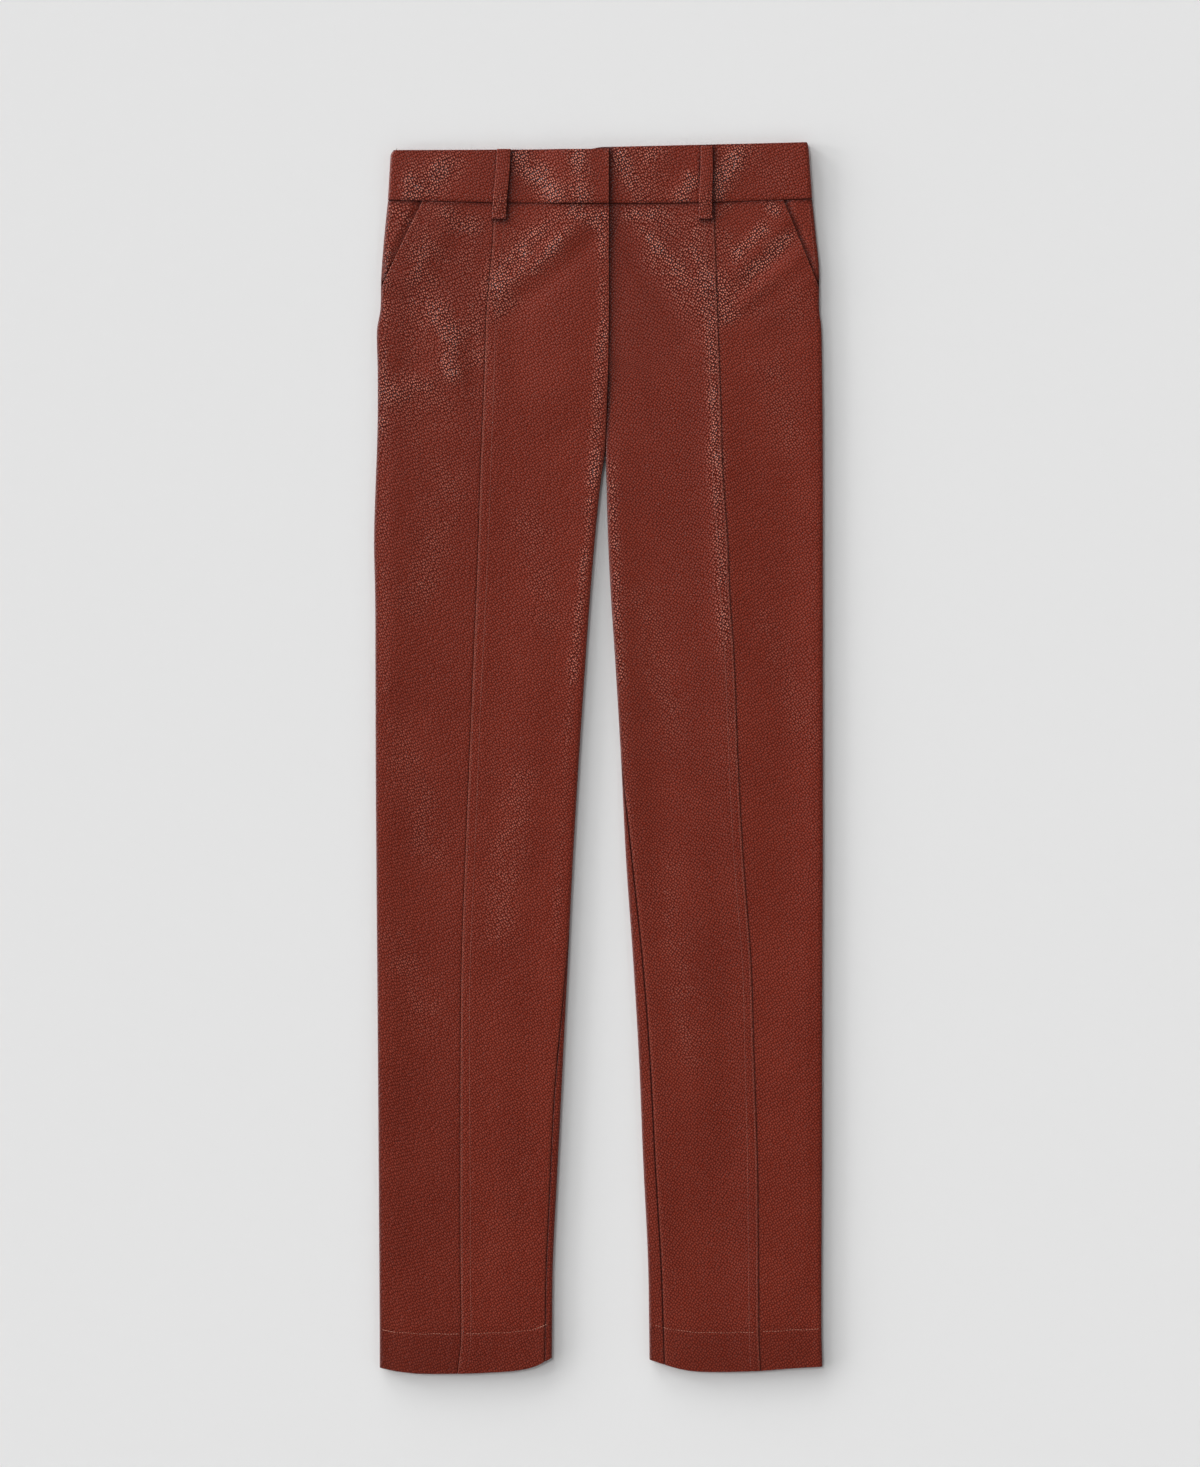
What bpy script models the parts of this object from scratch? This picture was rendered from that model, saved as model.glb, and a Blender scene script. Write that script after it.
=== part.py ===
"""Slim faux leather trousers, laid flat on a table with the front up.

X runs to the wearer's left, +Y to the waist and +Z up. The origin is the middle of the
garment's box, on the table. Sizes are in millimetres and become metres where a mesh is made.
"Down" is the distance from the top of the waistband towards the hem.
"""
import math
from collections import namedtuple

import bmesh
import bpy

MM = 0.001

# ---- driving dimensions, mm ----
LENGTH = 1082.4
WAIST_SEAM = 52.0
CROTCH = 272.0
HEM = 1077.0

CLOTH = 1.4
BAND_CLOTH = 2.0
HEM_CLOTH = 2.2
LOOP_CLOTH = 1.4
FACING_CLOTH = 1.1
SEAM_GAP = 0.3

ROLL_WIDTH = 5.0
ROLL_MIDDLE = 3.1
BAND_ROLL_WIDTH = 4.2
BAND_ROLL_MIDDLE = 3.3

FRONT_HEIGHT = 5.0
RIDGE_HEIGHT = 1.2
RIDGE_FROM_EDGE = 9.0
RIDGE_SPREAD = 14.0
EDGE_FADE = 16.0
WAIST_SWELL = 0.3
WAIST_SWELL_RUN = 50.0
WAIST_BEND_RUN = 98.0
HEM_SWELL = 0.8
HEM_SWELL_RUN = 120.0
HEM_BEND_RUN = 90.0
HEM_DEPTH = 35.0

BAND_HEIGHT = 6.0
BAND_SIDE_SWELL = 0.6
BAND_LAP_RISE = BAND_CLOTH + SEAM_GAP
BAND_LAP_RAMP = 29.0
BAND_UNDERLAP = 36.0

LAP_SEAM_RISE = 0.6
LAP_SEAM_WIDTH = 6.5
LAP_SEAM_RAMP = 3.0

FLY_END = 208.0
FLY_UNDERLAP = 28.0
FLY_UNDERLAP_ENDS = (182.0, 206.0)
FLY_RISE = CLOTH + SEAM_GAP + 0.05
FLY_RAMP = 25.0

POCKET_BOTTOM = 128.5
POCKET_TUCK = 12.0
POCKET_RISE = 0.95
POCKET_RAMP = 21.0
POCKET_DIP = 0.8
POCKET_ENDS = (-8.0, 12.0)

LOOP_BOTTOM = 68.0
LOOP_ARCH = 0.8
BACK_LOOP_LIFT = LOOP_CLOTH + SEAM_GAP
BACK_LOOP_WIDTH = 12.0
LIFT_FULL = 7.5
LIFT_FADED = 22.0
LIFT_BELOW = (1.5, 18.0)

CURL_RUN = 24.0
EDGE_EASE = 0.28
NORMAL_STEP = 0.01

# ---- the outline and seams of each leg, read across the flat garment ----
# down: from the waistband's top; side: side edge; seam: front seam;
# inner: centre line above the crotch, inner leg edge below it
LegRow = namedtuple("LegRow", "down side seam inner")
LEG_ROWS = {
    "right": [
        LegRow(52, -185.2, -91.6, 9.2),
        LegRow(85, -188.6, -92.6, 9.2),
        LegRow(121, -191.2, -95.6, 9.2),
        LegRow(147, -191.8, -98.0, 9.2),
        LegRow(165, -194.8, -98.8, 9.0),
        LegRow(200, -194.2, -99.8, 8.4),
        LegRow(240, -194.2, -101.4, 7.3),
        LegRow(272, -194.9, -102.8, 5.7),
        LegRow(297, -195.9, -103.6, 2.2),
        LegRow(349, -197.4, -105.3, -3.1),
        LegRow(402, -196.4, -107.2, -7.5),
        LegRow(456, -196.2, -109.6, -11.3),
        LegRow(543, -196.0, -113.2, -17.2),
        LegRow(631, -195.4, -116.8, -22.4),
        LegRow(719, -194.7, -120.0, -26.8),
        LegRow(807, -194.0, -121.0, -31.2),
        LegRow(895, -193.4, -121.1, -35.6),
        LegRow(983, -192.8, -121.0, -40.0),
        LegRow(1047, -192.4, -120.4, -40.8),
        LegRow(1077, -192.4, -123.6, -41.0),
    ],
    "left": [
        LegRow(52, 187.9, 101.2, 9.5),
        LegRow(85, 191.4, 102.1, 9.5),
        LegRow(112, 194.0, 103.0, 9.5),
        LegRow(147, 194.1, 104.3, 9.5),
        LegRow(162, 195.9, 104.8, 9.3),
        LegRow(200, 196.7, 106.2, 8.7),
        LegRow(240, 197.2, 107.6, 7.6),
        LegRow(272, 197.3, 108.4, 6.2),
        LegRow(297, 197.4, 109.4, 6.9),
        LegRow(349, 197.4, 113.2, 8.3),
        LegRow(402, 197.4, 115.4, 11.0),
        LegRow(456, 197.4, 119.0, 14.6),
        LegRow(543, 197.4, 122.3, 19.8),
        LegRow(631, 197.4, 127.0, 24.2),
        LegRow(719, 197.0, 133.6, 30.4),
        LegRow(807, 196.8, 136.4, 35.6),
        LegRow(895, 196.7, 139.3, 39.2),
        LegRow(983, 196.2, 140.2, 43.5),
        LegRow(1047, 196.2, 140.7, 44.5),
        LegRow(1077, 197.0, 142.0, 44.8),
    ],
}

# ---- how far the inseam has turned onto the front, from the inner leg edge ----
InseamRow = namedtuple("InseamRow", "down turned")
INSEAM_ROWS = {
    "right": [
        InseamRow(272, 0.0),
        InseamRow(690, 0.0),
        InseamRow(754, 2.4),
        InseamRow(846, 6.0),
        InseamRow(956, 5.4),
        InseamRow(1077, 6.0),
    ],
    "left": [
        InseamRow(272, 0.0),
        InseamRow(540, 0.0),
        InseamRow(618, 4.6),
        InseamRow(728, 8.4),
        InseamRow(863, 10.2),
        InseamRow(966, 11.0),
        InseamRow(1077, 13.0),
    ],
}

# ---- how far the hem line lies from HEM, across the leg: 0 at the side, 1 at the inner edge ----
HemRow = namedtuple("HemRow", "across drop")
HEM_ROWS = {
    "right": [
        HemRow(0.0, 0.0),
        HemRow(0.12, 3.6),
        HemRow(0.28, 5.4),
        HemRow(0.7, 3.8),
        HemRow(0.88, 0.0),
        HemRow(1.0, -8.5),
    ],
    "left": [
        HemRow(0.0, -0.8),
        HemRow(0.18, 0.6),
        HemRow(0.37, 2.8),
        HemRow(0.68, 3.6),
        HemRow(0.82, 1.2),
        HemRow(1.0, -7.0),
    ],
}

# ---- the waistband: side and centre, at its top edge and at its seam ----
Band = namedtuple("Band", "top_side top_at_side seam_side seam_at_side top_at_centre seam_at_centre")
BANDS = {
    "right": Band(-182.6, 7.0, -185.2, 51.0, 6.0, 54.0),
    "left": Band(184.4, 0.0, 187.9, 49.7, 4.2, 54.0),
}

# ---- the slant pocket mouths, at the waist seam; they end at the side seam at POCKET_BOTTOM ----
POCKET_TOP = {"right": -154.8, "left": 162.4}

# ---- the belt loops: middle at the top end and at the bottom end, and the widths there ----
Loop = namedtuple("Loop", "top_x bottom_x top_width bottom_width top_down")
FRONT_LOOPS = {
    "right": Loop(-83.2, -87.2, 12.0, 12.4, 6.2),
    "left": Loop(95.0, 94.2, 10.4, 11.8, 3.6),
}
BACK_LOOPS = {
    "back_right": -98.0,
    "centre_back": 9.4,
    "back_left": 104.0,
}

# ---- the largest soft folds of the front: from one end to the other, half width, height ----
Fold = namedtuple("Fold", "x_from down_from x_to down_to width height")
FOLDS = [
    Fold(-8, 62, -90, 134, 9, 0.7),
    Fold(2, 80, -76, 152, 9, -0.5),
    Fold(-138, 140, -122, 208, 13, 0.7),
    Fold(-112, 168, -104, 250, 11, -0.5),
    Fold(-160, 150, -166, 210, 12, -0.4),
    Fold(36, 62, 94, 138, 10, 0.7),
    Fold(20, 82, 80, 172, 10, -0.5),
    Fold(172, 62, 116, 120, 9, 0.7),
    Fold(178, 80, 118, 134, 8, -0.5),
    Fold(182, 96, 122, 148, 9, 0.6),
    Fold(-172, 250, -178, 490, 20, 0.5),
    Fold(-52, 366, -70, 666, 22, 0.5),
    Fold(-148, 578, -153, 886, 24, -0.5),
    Fold(-86, 710, -82, 1018, 22, 0.5),
    Fold(110, 226, 114, 455, 14, 0.5),
    Fold(50, 330, 58, 666, 22, -0.4),
    Fold(168, 314, 164, 666, 24, -0.5),
    Fold(82, 578, 90, 930, 22, 0.5),
    Fold(172, 720, 168, 1010, 20, 0.4),
]

PANEL_ROWS = [
    52, 61, 70, 86, 98, 110, 122, 134, 148, 165, 182, 198, 207, 220, 234, 248, 260, 272,
    286, 303, 325, 349, 375, 410, 455, 505, 560, 615, 675, 735, 800, 865, 930, 990,
    1040, 1045, 1075.5, 1077,
]
POCKET_ROWS = [52, 61, 70, 86, 98, 110, 122]

LEATHER_COLOR = (0.165, 0.032, 0.018, 1.0)
SHADES = {"panel": 1.0, "band": 0.95, "loop": 1.08, "facing": 0.88}
LEATHER_ROUGHNESS = 0.42


# ---- small curves ----
def smooth(start, end, value):
    """0 before start, 1 after end, and an S curve between."""
    part = min(max((value - start) / (end - start), 0.0), 1.0)
    return part * part * (3.0 - 2.0 * part)


def follow(rows, key, column, value):
    """A smooth curve through one column of a table, with no overshoot at its ends."""
    keys = [getattr(row, key) for row in rows]
    values = [getattr(row, column) for row in rows]
    if value <= keys[0]:
        return values[0]
    if value >= keys[-1]:
        return values[-1]
    index = max(i for i in range(len(keys) - 1) if keys[i] <= value)
    run = keys[index + 1] - keys[index]
    part = (value - keys[index]) / run

    def slope(i):
        before, after = max(i - 1, 0), min(i + 1, len(keys) - 1)
        return (values[after] - values[before]) / (keys[after] - keys[before])

    square, cube = part ** 2, part ** 3
    return (
        values[index] * (2 * cube - 3 * square + 1)
        + values[index + 1] * (3 * square - 2 * cube)
        + slope(index) * run * (cube - 2 * square + part)
        + slope(index + 1) * run * (cube - square)
    )


def fold_height(x, down):
    """The sum of the soft folds at a place, each fading out at its ends."""
    total = 0.0
    for fold in FOLDS:
        run_x = fold.x_to - fold.x_from
        run_down = fold.down_to - fold.down_from
        length = math.hypot(run_x, run_down)
        along = ((x - fold.x_from) * run_x + (down - fold.down_from) * run_down) / length ** 2
        away = abs((x - fold.x_from) * run_down - (down - fold.down_from) * run_x) / length
        ends = smooth(-0.15, 0.2, along) * (1.0 - smooth(0.8, 1.15, along))
        total += fold.height * ends * math.exp(-(away / fold.width) ** 2)
    return total


# ---- one leg's section: a flattened tube ----
class Leg:
    """One half of the garment, which knows its outline and seams at any distance down."""

    def __init__(self, name):
        self.name = name
        self.inward = 1.0 if name == "right" else -1.0

    def at(self, column, down):
        return follow(LEG_ROWS[self.name], "down", column, down)

    def width(self, down):
        return abs(self.at("inner", down) - self.at("side", down))

    def seam_across(self, down):
        return abs(self.at("seam", down) - self.at("side", down))

    def inseam_turned(self, down):
        return max(follow(INSEAM_ROWS[self.name], "down", "turned", down), 0.0)

    def pocket_across(self, down):
        """Distance from the side edge to the slant mouth, none below the pocket."""
        part = (down - WAIST_SEAM) / (POCKET_BOTTOM - WAIST_SEAM)
        if part >= 1.0:
            return 0.0
        bottom = self.at("side", POCKET_BOTTOM)
        mouth = POCKET_TOP[self.name] * (1.0 - part) + bottom * part
        return abs(mouth - self.at("side", down))

    def true_down(self, down, across):
        """Bends the level rows to the waist seam at the top and to the hem at the bottom."""
        band = BANDS[self.name]
        side_part = (1.0 - min(across / self.width(down), 1.0)) ** 2
        waist_drop = (band.seam_at_centre - WAIST_SEAM) * (1.0 - side_part)
        waist_drop += (band.seam_at_side - WAIST_SEAM) * side_part
        part = min(max(across / self.width(down), 0.0), 1.0)
        hem_drop = follow(HEM_ROWS[self.name], "across", "drop", part)
        near_waist = 1.0 - smooth(WAIST_SEAM, WAIST_SEAM + WAIST_BEND_RUN, down)
        near_hem = smooth(HEM - HEM_BEND_RUN, HEM, down)
        return down + waist_drop * near_waist + hem_drop * near_hem


def curl(down):
    """How far the inner edge is rolled: flat above the crotch, round below it."""
    return smooth(CROTCH - CURL_RUN, CROTCH, down)


def front_height(leg, across, down):
    """Height of the front's outer face over the table."""
    x = leg.at("side", down) + leg.inward * across
    inner_gap = max(leg.width(down) - across, 0.0)
    near_side = math.exp(-((across - RIDGE_FROM_EDGE) / RIDGE_SPREAD) ** 2)
    near_inner = math.exp(-((inner_gap - RIDGE_FROM_EDGE) / RIDGE_SPREAD) ** 2) * curl(down)
    height = FRONT_HEIGHT + RIDGE_HEIGHT * max(near_side, near_inner)
    height += WAIST_SWELL * (1.0 - smooth(WAIST_SEAM, WAIST_SEAM + WAIST_SWELL_RUN, down))
    near_hem = smooth(HEM - HEM_SWELL_RUN, HEM - HEM_DEPTH, down)
    height += HEM_SWELL * near_hem * (1.0 - max(near_side, near_inner))
    off_side = smooth(0.0, EDGE_FADE, across)
    off_inner = 1.0 - curl(down) * (1.0 - smooth(0.0, EDGE_FADE, inner_gap))
    return height + fold_height(x, down) * off_side * off_inner


def back_lift(x, down):
    """How far the back stands off the table over the belt loops that lie beneath it."""
    lift = 0.0
    for middle in BACK_LOOPS.values():
        beside = 1.0 - smooth(LIFT_FULL, LIFT_FADED, abs(x - middle))
        below = 1.0 - smooth(LOOP_BOTTOM + LIFT_BELOW[0], LOOP_BOTTOM + LIFT_BELOW[1], down)
        lift = max(lift, BACK_LOOP_LIFT * beside * below)
    return lift


def no_lift(leg, across, down):
    return 0.0


def seam_lift(leg, across, down):
    """The lapped seam: the centre panel's edge stands up over the seam allowances."""
    from_seam = across - leg.seam_across(down)
    return LAP_SEAM_RISE * (1.0 - smooth(LAP_SEAM_WIDTH, LAP_SEAM_WIDTH + LAP_SEAM_RAMP, from_seam))


def fly_lift(leg, across, down):
    """The right centre front lies over the left one's underlap."""
    from_edge = leg.width(down) - across
    over = 1.0 - smooth(FLY_UNDERLAP + 1.0, FLY_UNDERLAP + 1.0 + FLY_RAMP, from_edge)
    above_end = 1.0 - smooth(FLY_END, FLY_END + FLY_RAMP, down)
    return FLY_RISE * over * above_end + seam_lift(leg, across, down)


def pocket_rise(leg, across, down):
    """The side front's slant edge stands up over the pocket facing."""
    from_mouth = across - leg.pocket_across(down)
    over = 1.0 - smooth(POCKET_TUCK + 1.0, POCKET_TUCK + 1.0 + POCKET_RAMP, from_mouth)
    ends = 1.0 - smooth(POCKET_BOTTOM + POCKET_ENDS[0], POCKET_BOTTOM + POCKET_ENDS[1], down)
    return POCKET_RISE * over * ends


def pocket_dip(leg, across, down):
    """The facing sinks beneath the slant edge, and is level again at the side."""
    ends = 1.0 - smooth(POCKET_BOTTOM + POCKET_ENDS[0], POCKET_BOTTOM + POCKET_ENDS[1], down)
    off_roll = smooth(4.0, 9.0, across)
    mouth = leg.pocket_across(down)
    return -POCKET_DIP * smooth(mouth - 9.0, mouth - 1.0, across) * off_roll * ends


def round_edge(turn, top, bottom, roll_width, roll_middle):
    """A side roll. turn is 1 on top, 0 at the outermost point and -1 underneath."""
    angle = turn * math.pi / 2.0
    inward = roll_width * (1.0 - math.cos(angle))
    if turn >= 0.0:
        return inward, roll_middle + (top - roll_middle) * math.sin(angle)
    return inward, bottom + (roll_middle - bottom) * (1.0 + math.sin(angle))


def around(leg, down, turn, lift=no_lift, reach=0.0):
    """A point (across, height) of the cloth's outer face.

    turn goes round the tube: -1 to 1 round the side roll, 1 to 2 over the front,
    2 to 4 round the inner roll and 4 to 5 under the back, to the side roll again.
    reach widens the front past the centre line, for the fly's underlap.
    """
    width = leg.width(down) + reach
    rolled = curl(down)
    if turn < -1.0 or turn > 4.0:
        part = 5.0 - turn if turn > 4.0 else -1.0 - turn
        across = ROLL_WIDTH + part * (width - 2.0 * ROLL_WIDTH)
        return across, back_lift(leg.at("side", down) + leg.inward * across, down)
    if turn <= 1.0:
        across = ROLL_WIDTH * (1.0 - math.cos(turn * math.pi / 2.0))
        top = front_height(leg, across, down) + lift(leg, across, down)
        return round_edge(turn, top, 0.0, ROLL_WIDTH, ROLL_MIDDLE)
    if turn <= 2.0:
        across = ROLL_WIDTH + (turn - 1.0) * (width - 2.0 * ROLL_WIDTH)
        return across, front_height(leg, across, down) + lift(leg, across, down)
    across = width - ROLL_WIDTH * (1.0 - math.cos((3.0 - turn) * math.pi / 2.0))
    top = front_height(leg, across, down) + lift(leg, across, down)
    floor = back_lift(leg.at("side", down) + leg.inward * across, down)
    inward, height = round_edge(3.0 - turn, top, floor, ROLL_WIDTH, ROLL_MIDDLE)
    if turn <= 3.0:
        height = top - (top - height) * rolled
    else:
        height = floor + (height - floor) * rolled
    return width - inward, height


def turn_at(leg, down, across, reach=0.0):
    """The turn whose point on the front lies this far from the side edge."""
    width = leg.width(down) + reach
    if across < ROLL_WIDTH:
        return math.acos(1.0 - max(across, 0.0) / ROLL_WIDTH) / (math.pi / 2.0)
    if across > width - ROLL_WIDTH:
        left_over = max(width - across, 0.0)
        return 3.0 - math.acos(1.0 - left_over / ROLL_WIDTH) / (math.pi / 2.0)
    return 1.0 + (across - ROLL_WIDTH) / (width - 2.0 * ROLL_WIDTH)


def wall_points(place, turn, seam_turn, low, high, cloth, ease):
    """The outer and inner points of the wall at one turn.

    seam_turn is where the wall's direction is taken, so that two walls which meet at a
    seam have parallel ends. ease is the part of the wall's thickness that a rounded
    edge takes off each face.
    """
    middle = min(max(seam_turn, low + NORMAL_STEP), high - NORMAL_STEP)
    before, after = place(middle - NORMAL_STEP), place(middle + NORMAL_STEP)
    run_across, run_height = after[0] - before[0], after[1] - before[1]
    length = math.hypot(run_across, run_height)
    normal = (-run_height / length, run_across / length)
    here = place(turn)
    outer = (here[0] - normal[0] * cloth * ease, here[1] - normal[1] * cloth * ease)
    depth = cloth * (1.0 - ease)
    inner = (here[0] - normal[0] * depth, here[1] - normal[1] * depth)
    return outer, inner


def cloth_at(down, turn):
    """The wall is double where the hem is folded up inside, and thinner round the rolls."""
    nearest_roll = 0.0 if turn < 1.5 else (3.0 if turn < 4.5 else 6.0)
    flat = 1.0 - math.cos(min(abs(turn - nearest_roll), 1.0) * math.pi / 2.0)
    hemmed = smooth(HEM - HEM_DEPTH - 2.0, HEM - HEM_DEPTH + 3.0, down)
    return CLOTH + (HEM_CLOTH - CLOTH) * hemmed * flat


# ---- meshes ----
def material(name, shade):
    made = bpy.data.materials.new(name)
    made.use_nodes = True
    shader = made.node_tree.nodes["Principled BSDF"]
    color = [channel * shade for channel in LEATHER_COLOR[:3]] + [1.0]
    shader.inputs["Base Color"].default_value = color
    shader.inputs["Roughness"].default_value = LEATHER_ROUGHNESS
    shader.inputs["Metallic"].default_value = 0.0
    return made


def wall(name, outer, inner, kind):
    """A closed cloth wall from the rows of its outer and its inner points."""
    bm = bmesh.new()
    faces = [[[bm.verts.new([value * MM for value in point]) for point in row] for row in side]
             for side in (outer, inner)]
    rows, columns = len(outer), len(outer[0])
    for side in faces:
        for i in range(rows - 1):
            for j in range(columns - 1):
                bm.faces.new((side[i][j], side[i][j + 1], side[i + 1][j + 1], side[i + 1][j]))
    front, behind = faces
    for i in (0, rows - 1):
        for j in range(columns - 1):
            bm.faces.new((front[i][j], front[i][j + 1], behind[i][j + 1], behind[i][j]))
    for j in (0, columns - 1):
        for i in range(rows - 1):
            bm.faces.new((front[i][j], front[i + 1][j], behind[i + 1][j], behind[i][j]))
    bmesh.ops.recalc_face_normals(bm, faces=bm.faces)
    mesh = bpy.data.meshes.new(name)
    bm.to_mesh(mesh)
    bm.free()
    mesh.shade_smooth()
    mesh.set_sharp_from_angle(angle=math.radians(50.0))
    made = bpy.data.objects.new(name, mesh)
    mesh.materials.append(material(name + "_leather", SHADES[kind]))
    GARMENT.objects.link(made)
    return made


def y_of(down):
    return LENGTH / 2.0 - down


def leg_point(leg, down, point):
    """Places an (across, height) point of the section in the garment."""
    across, height = point
    below_band = SEAM_GAP * (1.0 - smooth(WAIST_SEAM, WAIST_SEAM + 20.0, down))
    x = leg.at("side", down) + leg.inward * across
    return x, y_of(leg.true_down(down, across) + below_band), height


def panel(name, leg, rows, turns, low, high, lift=no_lift, reach=None, kind="panel", cloth=cloth_at):
    """A panel of one leg. turns gives each row's places round the tube.

    low and high bound the stretch in which the wall's direction is measured.
    """
    outer_rows, inner_rows = [], []
    for down in rows:
        extra = reach(down) if reach else 0.0
        row_low, row_high = low(down), high(down)

        def place(turn):
            if turn > 5.0:
                return around(leg, down, turn - 6.0, lift, extra)
            return around(leg, down, turn, lift, extra)

        outer_row, inner_row = [], []
        eased = EDGE_EASE if down >= HEM else 0.0
        for turn in turns(down):
            at_seam = SIDE_SEAM_TURNS.get(round(turn, 4), turn)
            outer, inner = wall_points(place, turn, at_seam, row_low, row_high, cloth(down, turn), eased)
            outer_row.append(leg_point(leg, down, outer))
            inner_row.append(leg_point(leg, down, inner))
        outer_rows.append(outer_row)
        inner_rows.append(inner_row)
    return wall(name, outer_rows, inner_rows, kind)


def spread(start, end, count):
    """Evenly spaced values between two ends, without the ends."""
    return [start + (end - start) * (i + 1) / (count + 1) for i in range(count)]


ROLL_STEPS = [0.0, 0.8, 2.7, 5.0, 13.0]
HALF_GAP_TURN = SEAM_GAP / 2.0 / ROLL_MIDDLE / (math.pi / 2.0)
SIDE_SEAM_TURNS = {round(HALF_GAP_TURN, 4): 0.0, round(6.0 - HALF_GAP_TURN, 4): 6.0}
BACK_START = 3.0 + 1e-6
PART_CURLED = 0.35
CENTRE = LEG_ROWS["right"][0].inner
BAND_FRONT_TURNS = [0.0, 0.01, 0.09, 0.17, 0.24, 0.34, 0.46, 0.6, 0.74, 0.88]
BAND_SIDE_TURNS = [1.0, 1.3, 1.6, 2.0, 2.4, 2.7, 3.0]
BAND_PARTS = [(0.0, 0.3), (0.012, 0.1), (0.04, 0.0), (0.35, 0.0), (0.7, 0.0), (1.0, 0.0)]


def side_front(leg):
    """Outer front panel: from the side seam, or the pocket mouth, to the front seam."""
    def turns(down):
        start = leg.pocket_across(down)
        if start <= 0.0:
            across = ROLL_STEPS[1:]
            row = [HALF_GAP_TURN] + [turn_at(leg, down, value) for value in across]
        else:
            across = [start + value for value in ROLL_STEPS]
            row = [turn_at(leg, down, value) for value in across]
        end = leg.seam_across(down) - SEAM_GAP
        across_more = spread(across[-1], end, 4) + [end]
        return row + [turn_at(leg, down, value) for value in across_more]

    return panel("side_front_" + leg.name, leg, PANEL_ROWS, turns,
                 lambda down: -1.0, lambda down: 2.0, pocket_rise)


def inseam_turn(leg, down, past):
    """The turn of the inseam. past shifts it along the cloth, towards the back if positive."""
    quarter = math.pi / 2.0 * (ROLL_WIDTH + ROLL_MIDDLE) / 2.0
    turned = leg.inseam_turned(down)
    if turned < ROLL_WIDTH:
        along = quarter * math.acos(1.0 - turned / ROLL_WIDTH) / (math.pi / 2.0)
    else:
        along = quarter + turned - ROLL_WIDTH
    along -= past
    if along <= quarter:
        return 3.0 - along / quarter
    return turn_at(leg, down, leg.width(down) - ROLL_WIDTH - (along - quarter))


def centre_front(leg, lift, reach=None):
    """Inner front panel: from the front seam to the fly above, and to the inseam below."""
    def turns(down):
        extra = reach(down) if reach else 0.0
        seam = leg.seam_across(down)
        ends_at = leg.width(down) + extra - leg.inseam_turned(down)
        near_seam = [seam, seam + LAP_SEAM_WIDTH, seam + LAP_SEAM_WIDTH + LAP_SEAM_RAMP]
        middle = spread(near_seam[-1], ends_at - ROLL_STEPS[-1], 4)
        near_end = [ends_at - value for value in reversed(ROLL_STEPS[1:])]
        row = [turn_at(leg, down, value, extra) for value in near_seam + middle + near_end]
        if curl(down) < 1.0:
            return row + [3.0]
        return row + [inseam_turn(leg, down, -SEAM_GAP / 2.0)]

    return panel("centre_front_" + leg.name, leg, PANEL_ROWS, turns, lambda down: 1.0,
                 lambda down: 4.0 if curl(down) >= 1.0 else 3.0 - PART_CURLED, lift, reach)


def loops_across(leg):
    """The back loops' distances from a side edge, of those that lie under this half."""
    side = leg.at("side", WAIST_SEAM)
    all_loops = [(x - side) * leg.inward for x in BACK_LOOPS.values()]
    return [value for value in all_loops if value < leg.width(WAIST_SEAM) + 1.0]


def back(leg):
    """Back panel: from the centre back and the inseam, under the leg, to the side seam."""
    loops = loops_across(leg)

    def turns(down):
        width = leg.width(down)
        if curl(down) < 1.0:
            first = BACK_START
        else:
            first = inseam_turn(leg, down, SEAM_GAP / 2.0)
        lowest = 3.6 if first > 2.9 else 3.4
        round_inner = [first + (lowest - first) * part for part in (0.0, 0.25, 0.5, 0.75, 1.0)]
        waist_width = leg.width(WAIST_SEAM)
        steps = (-LIFT_FADED, -LIFT_FULL, LIFT_FULL, LIFT_FADED)
        beside = [place + step for place in loops for step in steps]
        beside = [value for value in beside if ROLL_WIDTH < value < waist_width - ROLL_WIDTH - 1.0]
        across = sorted((value * width / waist_width for value in beside), reverse=True)
        run = width - 2.0 * ROLL_WIDTH
        under = [4.0] + [4.0 + (width - ROLL_WIDTH - value) / run for value in across] + [4.8, 5.0]
        return round_inner + under + [5.4, 5.75, 6.0 - HALF_GAP_TURN]

    return panel("back_" + leg.name, leg, PANEL_ROWS, turns,
                 lambda down: 1.0 if curl(down) >= 1.0 else 3.0 + PART_CURLED, lambda down: 7.0)


def pocket_facing(leg):
    """What shows in the slant mouth: from the side seam to beneath the side front."""
    def turns(down):
        mouth = leg.pocket_across(down)
        tuck = POCKET_TUCK * (1.0 - smooth(WAIST_SEAM + 22.0, WAIST_SEAM + 54.0, down))
        end = mouth + tuck - SEAM_GAP * 1.5
        last = turn_at(leg, down, end)
        if last <= 1.0:
            return [HALF_GAP_TURN] + spread(HALF_GAP_TURN, last, 6) + [last]
        return [HALF_GAP_TURN, 0.35, 0.7, 1.0] + spread(1.0, last, 3) + [last]

    return panel("pocket_facing_" + leg.name, leg, POCKET_ROWS, turns, lambda down: -1.0,
                 lambda down: 2.0, pocket_dip, kind="facing", cloth=lambda down, turn: FACING_CLOTH)


# ---- the waistband ----
def band_height(leg, across, width, lapped):
    """Height of the front band's outer face; the right band laps over the left one."""
    height = BAND_HEIGHT + BAND_SIDE_SWELL * math.exp(-(across / 24.0) ** 2)
    if lapped:
        from_end = width - across
        ramp = smooth(BAND_UNDERLAP + 1.0, BAND_UNDERLAP + 1.0 + BAND_LAP_RAMP, from_end)
        height += BAND_LAP_RISE * (1.0 - ramp)
    return height


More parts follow.
